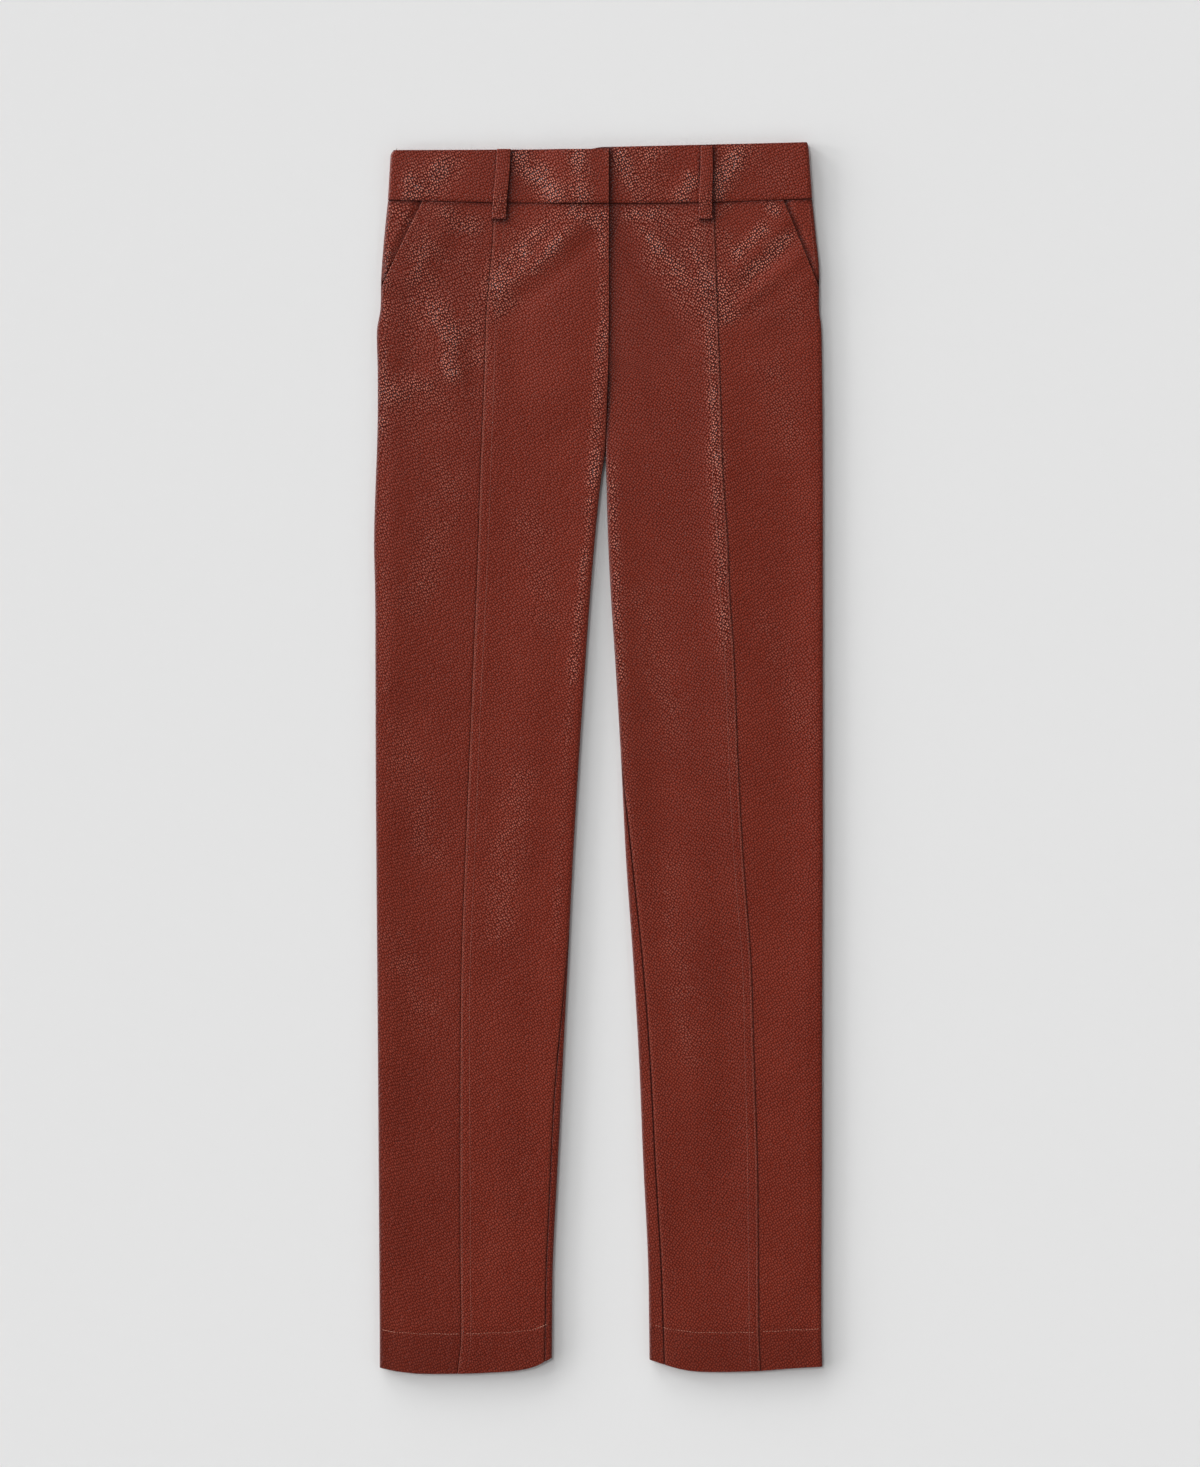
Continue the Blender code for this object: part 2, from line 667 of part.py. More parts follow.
def band_point(leg, part, turn):
    """A point of the band's outer face. part runs from its top edge, 0, to its seam, 1.

    turn runs from 0 at the centre front to 1 at the front's side, 3 round the side roll
    and 4 at the centre back.
    """
    band = BANDS[leg.name]
    side = band.top_side + (band.seam_side - band.top_side) * part
    lapped = leg.name == "right"
    front_end = CENTRE if lapped else CENTRE - BAND_UNDERLAP
    front_width = abs(front_end - side)
    back_width = abs(CENTRE - side) - SEAM_GAP / 2.0
    if turn <= 1.0:
        across = front_width + (BAND_ROLL_WIDTH - front_width) * turn
        height = band_height(leg, across, front_width, lapped)
    elif turn <= 3.0:
        roll_turn = 2.0 - turn
        guess = BAND_ROLL_WIDTH * (1.0 - math.cos(roll_turn * math.pi / 2.0))
        top = band_height(leg, guess, front_width, lapped)
        across, height = round_edge(roll_turn, top, 0.0, BAND_ROLL_WIDTH, BAND_ROLL_MIDDLE)
    else:
        across = BAND_ROLL_WIDTH + (back_width - BAND_ROLL_WIDTH) * (turn - 3.0)
        height = back_lift(side + leg.inward * across, WAIST_SEAM)
    return across, height


def band_down(leg, part, across):
    """The band's edges run straight from the side to the centre, a little bowed."""
    band = BANDS[leg.name]
    width = abs(CENTRE - band.seam_side)
    to_side = max(1.0 - across / width, 0.0)
    top = band.top_at_centre + (band.top_at_side - band.top_at_centre) * to_side
    seam = band.seam_at_centre + (band.seam_at_side - band.seam_at_centre) * to_side ** 2
    return top + (seam - top) * part


def waistband(leg):
    """One half of the folded band: its front, round the side, and its back."""
    band = BANDS[leg.name]
    width = abs(CENTRE - band.seam_side)
    steps = (-LIFT_FADED, -14.0, -LIFT_FULL, 0.0, LIFT_FULL, 14.0, LIFT_FADED)
    beside = [place + step for place in loops_across(leg) for step in steps]
    under = sorted(value for value in beside if 2.0 * BAND_ROLL_WIDTH < value < width - 2.0)
    back_turns = [3.0 + (value - BAND_ROLL_WIDTH) / (width - BAND_ROLL_WIDTH) for value in under]
    turns = BAND_FRONT_TURNS + BAND_SIDE_TURNS + back_turns + [4.0]
    outer_rows, inner_rows = [], []
    for part, top_ease in BAND_PARTS:
        def place(turn):
            return band_point(leg, part, turn)

        side_x = band.top_side + (band.seam_side - band.top_side) * part
        outer_row, inner_row = [], []
        for turn in turns:
            ease = max(top_ease, EDGE_EASE if turn == 0.0 else 0.0)
            both = wall_points(place, turn, turn, 0.0, 4.0, -BAND_CLOTH, ease)
            for row, (across, height) in zip((outer_row, inner_row), both):
                row.append((side_x + leg.inward * across, y_of(band_down(leg, part, across)), height))
        outer_rows.append(outer_row)
        inner_rows.append(inner_row)
    return wall("waistband_" + leg.name, outer_rows, inner_rows, "band")


# ---- belt loops ----
def front_surface(leg, x, down):
    """Height of what lies under a front belt loop: the band, then the panels."""
    band = BANDS[leg.name]
    across = abs(x - leg.at("side", max(down, WAIST_SEAM)))
    front_width = abs(CENTRE - band.seam_side)
    on_band = band_height(leg, across, front_width, leg.name == "right")
    on_panel = front_height(leg, across, down) + seam_lift(leg, max(across, leg.seam_across(down)), down)
    return on_band + (on_panel - on_band) * smooth(WAIST_SEAM - 1.0, WAIST_SEAM + 6.0, down)


def loop_strip(name, centre_line, width_line, rows, under):
    """A belt loop: a narrow strip that lies over what is under it, with a soft arch."""
    outer_rows, inner_rows = [], []
    top, bottom = rows[0], rows[-1]
    for down in rows:
        part = (down - top) / (bottom - top)
        middle, half = centre_line(part), width_line(part) / 2.0
        arch = LOOP_ARCH * math.sin(math.pi * part) ** 2
        outer_row, inner_row = [], []
        for step, eased in ((-1.0, 0.3), (-0.86, 0.06), (0.0, 0.0), (0.86, 0.06), (1.0, 0.3)):
            x = middle + half * step
            if down in (top, bottom):
                eased = max(eased, 0.22)
            outer, inner = under(x, down, arch, eased)
            outer_row.append((x, y_of(down), outer))
            inner_row.append((x, y_of(down), inner))
        outer_rows.append(outer_row)
        inner_rows.append(inner_row)
    return wall(name, outer_rows, inner_rows, "loop")


def front_loop(leg):
    loop = FRONT_LOOPS[leg.name]

    def under(x, down, arch, eased):
        floor = front_surface(leg, x, down) + SEAM_GAP + arch
        return floor + LOOP_CLOTH * (1.0 - eased), floor + LOOP_CLOTH * eased

    rows = [loop.top_down, loop.top_down + 0.8, 14, 24, 34, 44, 51, 55, 59, 63, 67, LOOP_BOTTOM]
    return loop_strip("belt_loop_front_" + leg.name,
                      lambda part: loop.top_x + (loop.bottom_x - loop.top_x) * part,
                      lambda part: loop.top_width + (loop.bottom_width - loop.top_width) * part,
                      rows, under)


def back_loop(place, middle):
    """A loop on the back lies on the table, under the band and the seat."""
    def under(x, down, arch, eased):
        return LOOP_CLOTH * (1.0 - eased), LOOP_CLOTH * eased

    rows = [8.0, 8.8, 30.0, 50.0, 67.2, LOOP_BOTTOM]
    return loop_strip("belt_loop_" + place, lambda part: middle,
                      lambda part: BACK_LOOP_WIDTH, rows, under)


# ---- the garment ----
for old in list(bpy.data.objects):
    bpy.data.objects.remove(old, do_unlink=True)

GARMENT = bpy.data.collections.new("trousers")
bpy.context.scene.collection.children.link(GARMENT)


def underlap(down):
    """The left centre front runs on beneath the right one, as far as the fly goes."""
    return FLY_UNDERLAP * (1.0 - smooth(*FLY_UNDERLAP_ENDS, down))


for half in ("right", "left"):
    leg = Leg(half)
    side_front(leg)
    if half == "right":
        centre_front(leg, fly_lift)
    else:
        centre_front(leg, seam_lift, underlap)
    back(leg)
    pocket_facing(leg)
    waistband(leg)
    front_loop(leg)

for place, middle in BACK_LOOPS.items():
    back_loop(place, middle)

for made in GARMENT.objects:
    print(made.name, len(made.data.polygons), "faces")
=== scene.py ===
# %% [markdown]
# # Faux leather trousers, laid flat
#
# A slim, high-waisted pair of trousers in pebbled rust brown faux leather lies on a table with
# its front up. The solids that are loaded first already have the true outline, the seams, the
# rolled sides and the largest folds. Each of them could simply be given a better material, but
# their faces are too coarse for a close look. So every piece of cloth is made again here, as a
# fine sheet that is draped on the same form by the same few formulas, and the sewing, the grain
# and the shine are added on top.

# %% Load the solids
import math
from collections import namedtuple

import bpy
import numpy as np
from mathutils import Matrix, Vector


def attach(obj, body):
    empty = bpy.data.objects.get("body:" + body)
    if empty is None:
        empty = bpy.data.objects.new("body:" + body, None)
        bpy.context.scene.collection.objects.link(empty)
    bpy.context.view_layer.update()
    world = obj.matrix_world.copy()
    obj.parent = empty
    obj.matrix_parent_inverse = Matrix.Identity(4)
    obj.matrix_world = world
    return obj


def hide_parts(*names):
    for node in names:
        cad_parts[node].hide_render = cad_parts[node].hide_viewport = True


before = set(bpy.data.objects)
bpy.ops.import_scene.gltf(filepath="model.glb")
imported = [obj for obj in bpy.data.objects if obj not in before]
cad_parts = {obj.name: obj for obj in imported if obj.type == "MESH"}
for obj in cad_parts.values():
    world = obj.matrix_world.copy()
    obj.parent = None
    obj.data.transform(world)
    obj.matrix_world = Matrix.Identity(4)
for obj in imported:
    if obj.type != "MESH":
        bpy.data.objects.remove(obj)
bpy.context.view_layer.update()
MM = 0.001


def rows_of(row, values):
    """Rows of plain numbers, each with its columns' names."""
    return [row(*numbers) for numbers in values]


# %% [markdown]
# ## The camera
#
# The garment is seen from straight above. A camera with a long lens, far away, keeps the legs
# from looking splayed, as a real camera on a stand over a table does. The lens follows from how
# much of the table the frame takes in, so moving the camera later needs no new guess.

# %% The camera over the table
LONG_SIDE = 36.0
CAMERA_HEIGHT = 3.5
VIEW_HEIGHT = 1.291
VIEW_MIDDLE = (0.0013, 0.0216)

eye = bpy.data.cameras.new("over_the_table")
eye.sensor_width = LONG_SIDE
eye.lens = LONG_SIDE * CAMERA_HEIGHT / VIEW_HEIGHT
camera = bpy.data.objects.new("over_the_table", eye)
camera.location = (*VIEW_MIDDLE, CAMERA_HEIGHT)
bpy.context.scene.collection.objects.link(camera)
bpy.context.scene.camera = camera
print("lens mm:", round(eye.lens, 1))

# %% [markdown]
# ## A few small curves
#
# Almost every shape below is built from an S that goes from 0 to 1 or back, a bell, and a smooth
# line through one column of a short table. All take whole arrays, because a sheet has tens of
# thousands of points and numpy moves them all in one step.

# %% Curves that work on arrays
def smooth(start, end, value):
    """0 before start, 1 after end, and an S curve between."""
    part = np.clip((value - start) / (end - start), 0.0, 1.0)
    return part * part * (3.0 - 2.0 * part)


def fade(start, end, value):
    """1 before start, 0 after end, and an S curve between."""
    return 1.0 - smooth(start, end, value)


def bell(distance, width):
    """1 on a line, and fading to nothing on both sides of it."""
    return np.exp(-(distance / width) ** 2)


def follow(rows, key, column, value):
    """A smooth curve through one column of a table."""
    keys = np.array([getattr(row, key) for row in rows], dtype=float)
    heights = np.array([getattr(row, column) for row in rows], dtype=float)
    before = np.maximum(np.arange(len(keys)) - 1, 0)
    after = np.minimum(np.arange(len(keys)) + 1, len(keys) - 1)
    slopes = (heights[after] - heights[before]) / (keys[after] - keys[before])
    value = np.clip(value, keys[0], keys[-1])
    low = np.clip(np.searchsorted(keys, value, side="right") - 1, 0, len(keys) - 2)
    run = keys[low + 1] - keys[low]
    part = (value - keys[low]) / run
    square, cube = part ** 2, part ** 3
    return (
        heights[low] * (2 * cube - 3 * square + 1)
        + heights[low + 1] * (3 * square - 2 * cube)
        + slopes[low] * run * (cube - 2 * square + part)
        + slopes[low + 1] * run * (cube - square)
    )


def by_line(line, x, down):
    """How far along a line from its first end a place is, how far off it, and the line's length."""
    run_x, run_down = line.x_to - line.x_from, line.down_to - line.down_from
    length = math.hypot(run_x, run_down)
    along = ((x - line.x_from) * run_x + (down - line.down_from) * run_down) / length
    off = ((x - line.x_from) * run_down - (down - line.down_from) * run_x) / length
    return along, off, length


print("a bell at 0, 1 and 2 widths:", bell(np.arange(3.0), 1.0).round(3))

# %% [markdown]
# ## The outline and the seams
#
# A pattern cutter would give a leg by a few widths at measured heights, and so does this table.
# Sizes are in millimetres. "Down" is the distance from the top of the waistband, and X grows to
# the wearer's left. The rows are the ones that the solids were made from, so the sheets and the
# solids share one outline.

# %% Driving sizes and the leg table
LENGTH = 1082.4
WAIST_SEAM = 52.0
CROTCH = 272.0
HEM = 1077.0
SEAM_GAP = 0.3

LegRow = namedtuple("LegRow", "down side seam inner")
LEG_ROWS = {
    "right": rows_of(LegRow, [
        (52, -185.2, -91.6, 9.2),
        (85, -188.6, -92.6, 9.2),
        (121, -191.2, -95.6, 9.2),
        (147, -191.8, -98.0, 9.2),
        (165, -194.8, -98.8, 9.0),
        (200, -194.2, -99.8, 8.4),
        (240, -194.2, -101.4, 7.3),
        (272, -194.9, -102.8, 5.7),
        (297, -195.9, -103.6, 2.2),
        (349, -197.4, -105.3, -3.1),
        (402, -196.4, -107.2, -7.5),
        (456, -196.2, -109.6, -11.3),
        (543, -196.0, -113.2, -17.2),
        (631, -195.4, -116.8, -22.4),
        (719, -194.7, -120.0, -26.8),
        (807, -194.0, -121.0, -31.2),
        (895, -193.4, -121.1, -35.6),
        (983, -192.8, -121.0, -40.0),
        (1047, -192.4, -120.4, -40.8),
        (1077, -192.4, -123.6, -41.0),
    ]),
    "left": rows_of(LegRow, [
        (52, 187.9, 101.2, 9.5),
        (85, 191.4, 102.1, 9.5),
        (112, 194.0, 103.0, 9.5),
        (147, 194.1, 104.3, 9.5),
        (162, 195.9, 104.8, 9.3),
        (200, 196.7, 106.2, 8.7),
        (240, 197.2, 107.6, 7.6),
        (272, 197.3, 108.4, 6.2),
        (297, 197.4, 109.4, 6.9),
        (349, 197.4, 113.2, 8.3),
        (402, 197.4, 115.4, 11.0),
        (456, 197.4, 119.0, 14.6),
        (543, 197.4, 122.3, 19.8),
        (631, 197.4, 127.0, 24.2),
        (719, 197.0, 133.6, 30.4),
        (807, 196.8, 136.4, 35.6),
        (895, 196.7, 139.3, 39.2),
        (983, 196.2, 140.2, 43.5),
        (1047, 196.2, 140.7, 44.5),
        (1077, 197.0, 142.0, 44.8),
    ]),
}
print("leg rows:", {half: len(rows) for half, rows in LEG_ROWS.items()})

# %% The inseams, the hems, the waistband, the pockets and the loops
InseamRow = namedtuple("InseamRow", "down turned")
INSEAM_ROWS = {
    "right": rows_of(InseamRow, [
        (272, 0.0),
        (690, 0.0),
        (754, 2.4),
        (846, 6.0),
        (956, 5.4),
        (1077, 6.0),
    ]),
    "left": rows_of(InseamRow, [
        (272, 0.0),
        (540, 0.0),
        (618, 4.6),
        (728, 8.4),
        (863, 10.2),
        (966, 11.0),
        (1077, 13.0),
    ]),
}

HemRow = namedtuple("HemRow", "across drop")
HEM_ROWS = {
    "right": rows_of(HemRow, [
        (0.0, 0.0),
        (0.12, 3.6),
        (0.28, 5.4),
        (0.7, 3.8),
        (0.88, 0.0),
        (1.0, -8.5),
    ]),
    "left": rows_of(HemRow, [
        (0.0, -0.8),
        (0.18, 0.6),
        (0.37, 2.8),
        (0.68, 3.6),
        (0.82, 1.2),
        (1.0, -7.0),
    ]),
}

Band = namedtuple("Band", "top_side top_at_side seam_side seam_at_side top_at_centre seam_at_centre")
BANDS = {
    "right": Band(-182.6, 7.0, -185.2, 51.0, 6.0, 54.0),
    "left": Band(184.4, 0.0, 187.9, 49.7, 4.2, 54.0),
}

POCKET_TOP = {"right": -154.8, "left": 162.4}
POCKET_BOTTOM = 128.5

Loop = namedtuple("Loop", "top_x bottom_x top_width bottom_width top_down")
FRONT_LOOPS = {
    "right": Loop(-83.2, -87.2, 12.0, 12.4, 6.2),
    "left": Loop(95.0, 94.2, 10.4, 11.8, 3.6),
}
BACK_LOOPS = {"back_right": -98.0, "centre_back": 9.4, "back_left": 104.0}
LOOP_BOTTOM = 68.0
print("front loops:", len(FRONT_LOOPS), "back loops:", len(BACK_LOOPS))

# %% [markdown]
# ## Folds and creases
#
# Faux leather keeps soft folds where it was pulled: slanting ones from the fly to the pockets,
# and long shallow ones down the legs. A cloth simulation would put folds anywhere it liked.
# Placing each one by its two ends, its half width and its height puts them where the
# real ones are. The first table is the one in the solids. The second adds smaller creases, and
# the third has those on the back, which can only rise, because the garment rests on it.

# %% Fold tables
Fold = namedtuple("Fold", "x_from down_from x_to down_to width height")
FOLDS = rows_of(Fold, [
    (-8, 62, -90, 134, 9, 0.7),
    (2, 80, -76, 152, 9, -0.5),
    (-138, 140, -122, 208, 13, 0.7),
    (-112, 168, -104, 250, 11, -0.5),
    (-160, 150, -166, 210, 12, -0.4),
    (36, 62, 94, 138, 10, 0.7),
    (20, 82, 80, 172, 10, -0.5),
    (172, 62, 116, 120, 9, 0.7),
    (178, 80, 118, 134, 8, -0.5),
    (182, 96, 122, 148, 9, 0.6),
    (-172, 250, -178, 490, 20, 0.5),
    (-52, 366, -70, 666, 22, 0.5),
    (-148, 578, -153, 886, 24, -0.5),
    (-86, 710, -82, 1018, 22, 0.5),
    (110, 226, 114, 455, 14, 0.5),
    (50, 330, 58, 666, 22, -0.4),
    (168, 314, 164, 666, 24, -0.5),
    (82, 578, 90, 930, 22, 0.5),
    (172, 720, 168, 1010, 20, 0.4),
])
CREASES = rows_of(Fold, [
    (-30, 60, -84, 108, 5, 0.22),
    (-60, 128, -92, 160, 6, -0.2),
    (-128, 60, -150, 110, 8, 0.2),
    (-168, 150, -128, 172, 7, 0.22),
    (-178, 196, -132, 188, 6, -0.2),
    (-186, 226, -142, 206, 8, 0.25),
    (-176, 262, -122, 236, 9, -0.2),
    (-90, 190, -66, 260, 8, 0.18),
    (58, 62, 92, 102, 6, 0.2),
    (96, 150, 66, 184, 8, -0.2),
    (168, 118, 118, 160, 6, -0.22),
    (184, 128, 132, 170, 8, 0.2),
    (188, 176, 130, 204, 9, 0.18),
    (22, 150, 40, 230, 9, 0.2),
    (0, 232, -40, 300, 9, 0.22),
    (14, 262, 52, 336, 10, 0.2),
    (-186, 330, -160, 352, 8, 0.2),
    (-182, 480, -150, 505, 10, -0.2),
    (-178, 560, -136, 600, 12, 0.2),
    (-110, 600, -60, 640, 12, 0.22),
    (-60, 700, -96, 742, 12, -0.2),
    (-170, 700, -128, 764, 12, 0.22),
    (-176, 880, -140, 930, 12, 0.2),
    (-96, 850, -58, 880, 12, 0.2),
    (40, 520, 82, 560, 12, 0.2),
    (60, 700, 110, 760, 14, 0.22),
    (150, 560, 186, 610, 12, -0.2),
    (176, 800, 148, 850, 12, 0.2),
    (70, 860, 112, 920, 14, -0.2),
])
BACK_FOLDS = rows_of(Fold, [
    (20, 100, 84, 150, 10, 0.5),
    (4, 130, -70, 176, 11, 0.6),
    (150, 90, 182, 170, 12, 0.4),
    (-178, 110, -140, 180, 12, 0.5),
    (10, 262, 66, 300, 9, 0.6),
    (0, 280, -58, 322, 10, 0.5),
    (-100, 330, -92, 640, 20, 0.5),
    (120, 300, 112, 560, 20, 0.5),
    (-160, 520, -70, 556, 9, 0.5),
    (-176, 560, -84, 604, 10, 0.6),
    (54, 540, 150, 590, 10, 0.6),
    (70, 596, 172, 626, 9, 0.4),
    (-140, 760, -110, 1000, 18, 0.5),
    (120, 720, 132, 960, 18, 0.5),
])
print("folds:", len(FOLDS), "creases:", len(CREASES), "back folds:", len(BACK_FOLDS))


# %% The height that a fold table gives
FOLD_GROWS = (-0.15, 0.2)
FOLD_FADES = (0.8, 1.15)


def fold_height(folds, x, down):
    """The sum of the folds at each place, each fading out at its ends."""
    total = np.zeros(np.broadcast(x, down).shape)
    for fold in folds:
        along, off, length = by_line(fold, x, down)
        ends = smooth(*FOLD_GROWS, along / length) * fade(*FOLD_FADES, along / length)
        total += fold.height * ends * bell(off, fold.width)
    return total


print("a fold beside the fly mm:", round(float(fold_height(FOLDS, 60.0, 95.0)), 2))

# %% [markdown]
# ## One leg as a flattened tube
#
# A trouser leg is a tube. Lying flat it has a front, a back, and a roll along each side where
# the cloth turns over. A "turn" says where round the tube a point lies: -1 to 1 is the outer
# roll, 1 to 2 the front, 2 to 4 the inner roll and 4 to 5 the back. Above the crotch both halves
# meet at the centre, so there the inner roll is pressed flat.

# %% Sizes of the section
ROLL_WIDTH = 5.0
ROLL_MIDDLE = 3.1
ROLL_FLATNESS = 0.75
FRONT_HEIGHT = 5.0
RIDGE_HEIGHT = 0.4
RIDGE_FROM_EDGE = 9.0
RIDGE_SPREAD = 14.0
EDGE_FADE = 16.0
CURL_RUN = 24.0
WAIST_SWELL = 0.3
WAIST_SWELL_RUN = 50.0
WAIST_BEND_RUN = 98.0
HEM_SWELL = 0.8
HEM_SWELL_RUN = 120.0
HEM_BEND_RUN = 90.0
HEM_DEPTH = 35.0
GAP_RUN = 20.0


class Leg:
    """One half of the garment, which knows its outline and seams at any distance down."""

    def __init__(self, name):
        self.name = name
        self.inward = 1.0 if name == "right" else -1.0

    def at(self, column, down):
        return follow(LEG_ROWS[self.name], "down", column, down)

    def width(self, down):
        return np.abs(self.at("inner", down) - self.at("side", down))

    def seam_across(self, down):
        return np.abs(self.at("seam", down) - self.at("side", down))

    def inseam_turned(self, down):
        return np.maximum(follow(INSEAM_ROWS[self.name], "down", "turned", down), 0.0)

    def pocket_across(self, down):
        """Distance from the side edge to the slant mouth, none below the pocket."""
        part = np.minimum((down - WAIST_SEAM) / (POCKET_BOTTOM - WAIST_SEAM), 1.0)
        mouth = POCKET_TOP[self.name] * (1.0 - part) + self.at("side", POCKET_BOTTOM) * part
        return np.where(part < 1.0, np.abs(mouth - self.at("side", down)), 0.0)

    def true_down(self, down, across):
        """Bends the level rows to the waist seam at the top and to the hem at the bottom."""
        band = BANDS[self.name]
        part = np.clip(across / self.width(down), 0.0, 1.0)
        to_side = (1.0 - part) ** 2
        waist_drop = (band.seam_at_centre - WAIST_SEAM) * (1.0 - to_side)
        waist_drop = waist_drop + (band.seam_at_side - WAIST_SEAM) * to_side
        hem_drop = follow(HEM_ROWS[self.name], "across", "drop", part)
        near_waist = fade(WAIST_SEAM, WAIST_SEAM + WAIST_BEND_RUN, down)
        near_hem = smooth(HEM - HEM_BEND_RUN, HEM, down)
        below_band = SEAM_GAP * fade(WAIST_SEAM, WAIST_SEAM + GAP_RUN, down)
        return down + waist_drop * near_waist + hem_drop * near_hem + below_band

    def x(self, across, down):
        return self.at("side", down) + self.inward * across


LEGS = {half: Leg(half) for half in ("right", "left")}
print("leg width at the hem mm:", {half: round(float(leg.width(HEM)), 1) for half, leg in LEGS.items()})


# %% The height of the front, and of the back over its belt loops
BACK_LOOP_LIFT = 1.7
LIFT_FULL = 7.5
LIFT_FADED = 22.0
LIFT_BELOW = (LOOP_BOTTOM + 1.5, LOOP_BOTTOM + 18.0)


def curl(down):
    """How far the inner edge is rolled: flat above the crotch, round below it."""
    return smooth(CROTCH - CURL_RUN, CROTCH, down)


def front_height(leg, across, down):
    """Height of the front's outer face over the table, with its folds and creases."""
    inner_gap = np.maximum(leg.width(down) - across, 0.0)
    near_side = bell(across - RIDGE_FROM_EDGE, RIDGE_SPREAD)
    near_inner = bell(inner_gap - RIDGE_FROM_EDGE, RIDGE_SPREAD) * curl(down)
    near_edge = np.maximum(near_side, near_inner)
    height = FRONT_HEIGHT + RIDGE_HEIGHT * near_edge
    height = height + WAIST_SWELL * fade(WAIST_SEAM, WAIST_SEAM + WAIST_SWELL_RUN, down)
    height = height + HEM_SWELL * smooth(HEM - HEM_SWELL_RUN, HEM - HEM_DEPTH, down) * (1.0 - near_edge)
    off_side = smooth(0.0, EDGE_FADE, across)
    off_inner = 1.0 - curl(down) * fade(0.0, EDGE_FADE, inner_gap)
    x = leg.x(across, down)
    folded = fold_height(FOLDS, x, down) + fold_height(CREASES, x, down)
    return height + folded * off_side * off_inner


def back_lift(x, down):
    """How far the back stands off the table over the belt loops that lie beneath it."""
    lift = np.zeros(np.broadcast(x, down).shape)
    for middle in BACK_LOOPS.values():
        beside = fade(LIFT_FULL, LIFT_FADED, np.abs(x - middle))
        lift = np.maximum(lift, BACK_LOOP_LIFT * beside * fade(*LIFT_BELOW, down))
    return lift


print("front height at the crotch mm:",
      {half: round(float(front_height(leg, 90.0, CROTCH)), 2) for half, leg in LEGS.items()})

# %% [markdown]
# ## What lifts the front's layers
#
# Wherever one layer crosses another it has to climb over it: the fly over its underlap, the
# slant pocket's edge over the facing, and the lapped seam down each leg over its seam
# allowances. Each lift is a small function of the place, and a piece adds the ones it needs.

# %% Lifts
LAP_SEAM_RISE = 0.3
LAP_SEAM_WIDTH = 4.0
LAP_SEAM_RAMP = 24.0
FLY_END = 208.0
FLY_UNDERLAP = 28.0
FLY_UNDERLAP_ENDS = (182.0, 206.0)
FLY_RISE = 1.75
FLY_FADE = 60.0
FLY_RAMP = 62.0
POCKET_TUCK = 12.0
POCKET_RISE = 0.95
POCKET_RAMP = 40.0
POCKET_DIP = 0.8
POCKET_DIP_RAMP = (9.0, 1.0)
POCKET_DIP_SIDE = (4.0, 9.0)
POCKET_FADE = (POCKET_BOTTOM - 8.0, POCKET_BOTTOM + 12.0)


def seam_lift(leg, across, down):
    """The lapped seam: the centre panel's edge stands up over the seam allowances."""
    from_seam = across - leg.seam_across(down)
    return LAP_SEAM_RISE * fade(LAP_SEAM_WIDTH, LAP_SEAM_WIDTH + LAP_SEAM_RAMP, from_seam)


def fly_lift(leg, across, down):
    """The right centre front lies over the left one's underlap."""
    from_edge = leg.width(down) - across
    over = fade(FLY_UNDERLAP + 1.0, FLY_UNDERLAP + 1.0 + FLY_RAMP, from_edge)
    above_end = fade(FLY_END, FLY_END + FLY_FADE, down)
    return FLY_RISE * over * above_end + seam_lift(leg, across, down)


def pocket_rise(leg, across, down):
    """The side front's slant edge stands up over the pocket facing."""
    from_mouth = across - leg.pocket_across(down)
    over = fade(POCKET_TUCK + 1.0, POCKET_TUCK + 1.0 + POCKET_RAMP, from_mouth)
    return POCKET_RISE * over * fade(*POCKET_FADE, down)


def pocket_dip(leg, across, down):
    """The facing sinks beneath the slant edge, and is level again at the side."""
    mouth = leg.pocket_across(down)
    far, near = POCKET_DIP_RAMP
    beneath = smooth(mouth - far, mouth - near, across) * smooth(*POCKET_DIP_SIDE, across)
    return -POCKET_DIP * beneath * fade(*POCKET_FADE, down)


def no_lift(leg, across, down):
    return 0.0


def underlap(down):
    """The left centre front runs on beneath the right one, as far as the fly goes."""
    return FLY_UNDERLAP * fade(*FLY_UNDERLAP_ENDS, down)


print("underlap mm:", {down: round(float(underlap(down)), 1) for down in (WAIST_SEAM, 194.0, FLY_END)})

# %% [markdown]
# ## Round the tube
#
# A roll is a quarter of an ellipse above its middle and another below it. `around` joins the
# two rolls, the front and the back into one closed section, and `turn_at` goes the other way,
# from a distance across the front to a turn.

# %% The section of a leg
QUARTER = math.pi / 2.0


def rise(turn):
    """How far up a roll a turn is, 0 to 1. The weight of the cloth flattens the top of the roll."""
    up = np.sin(turn * QUARTER)
    return up + ROLL_FLATNESS * up * (1.0 - up)


def round_edge(turn, top, bottom):
    """A side roll. turn is 1 on top, 0 at the outermost point and -1 underneath."""
    inward = ROLL_WIDTH * (1.0 - np.cos(turn * QUARTER))
    above = ROLL_MIDDLE + (top - ROLL_MIDDLE) * rise(turn)
    below = bottom + (ROLL_MIDDLE - bottom) * (1.0 + np.sin(turn * QUARTER))
    return inward, np.where(turn >= 0.0, above, below)


def under_height(leg, across, down):
    """Height of the back's outer face: on the table, but for folds and what it lies on."""
    x = leg.x(across, down)
    off_rolls = smooth(ROLL_WIDTH, ROLL_WIDTH + EDGE_FADE, across)
    off_rolls = off_rolls * smooth(ROLL_WIDTH, ROLL_WIDTH + EDGE_FADE, leg.width(down) - across)
    return back_lift(x, down) + fold_height(BACK_FOLDS, x, down) * off_rolls


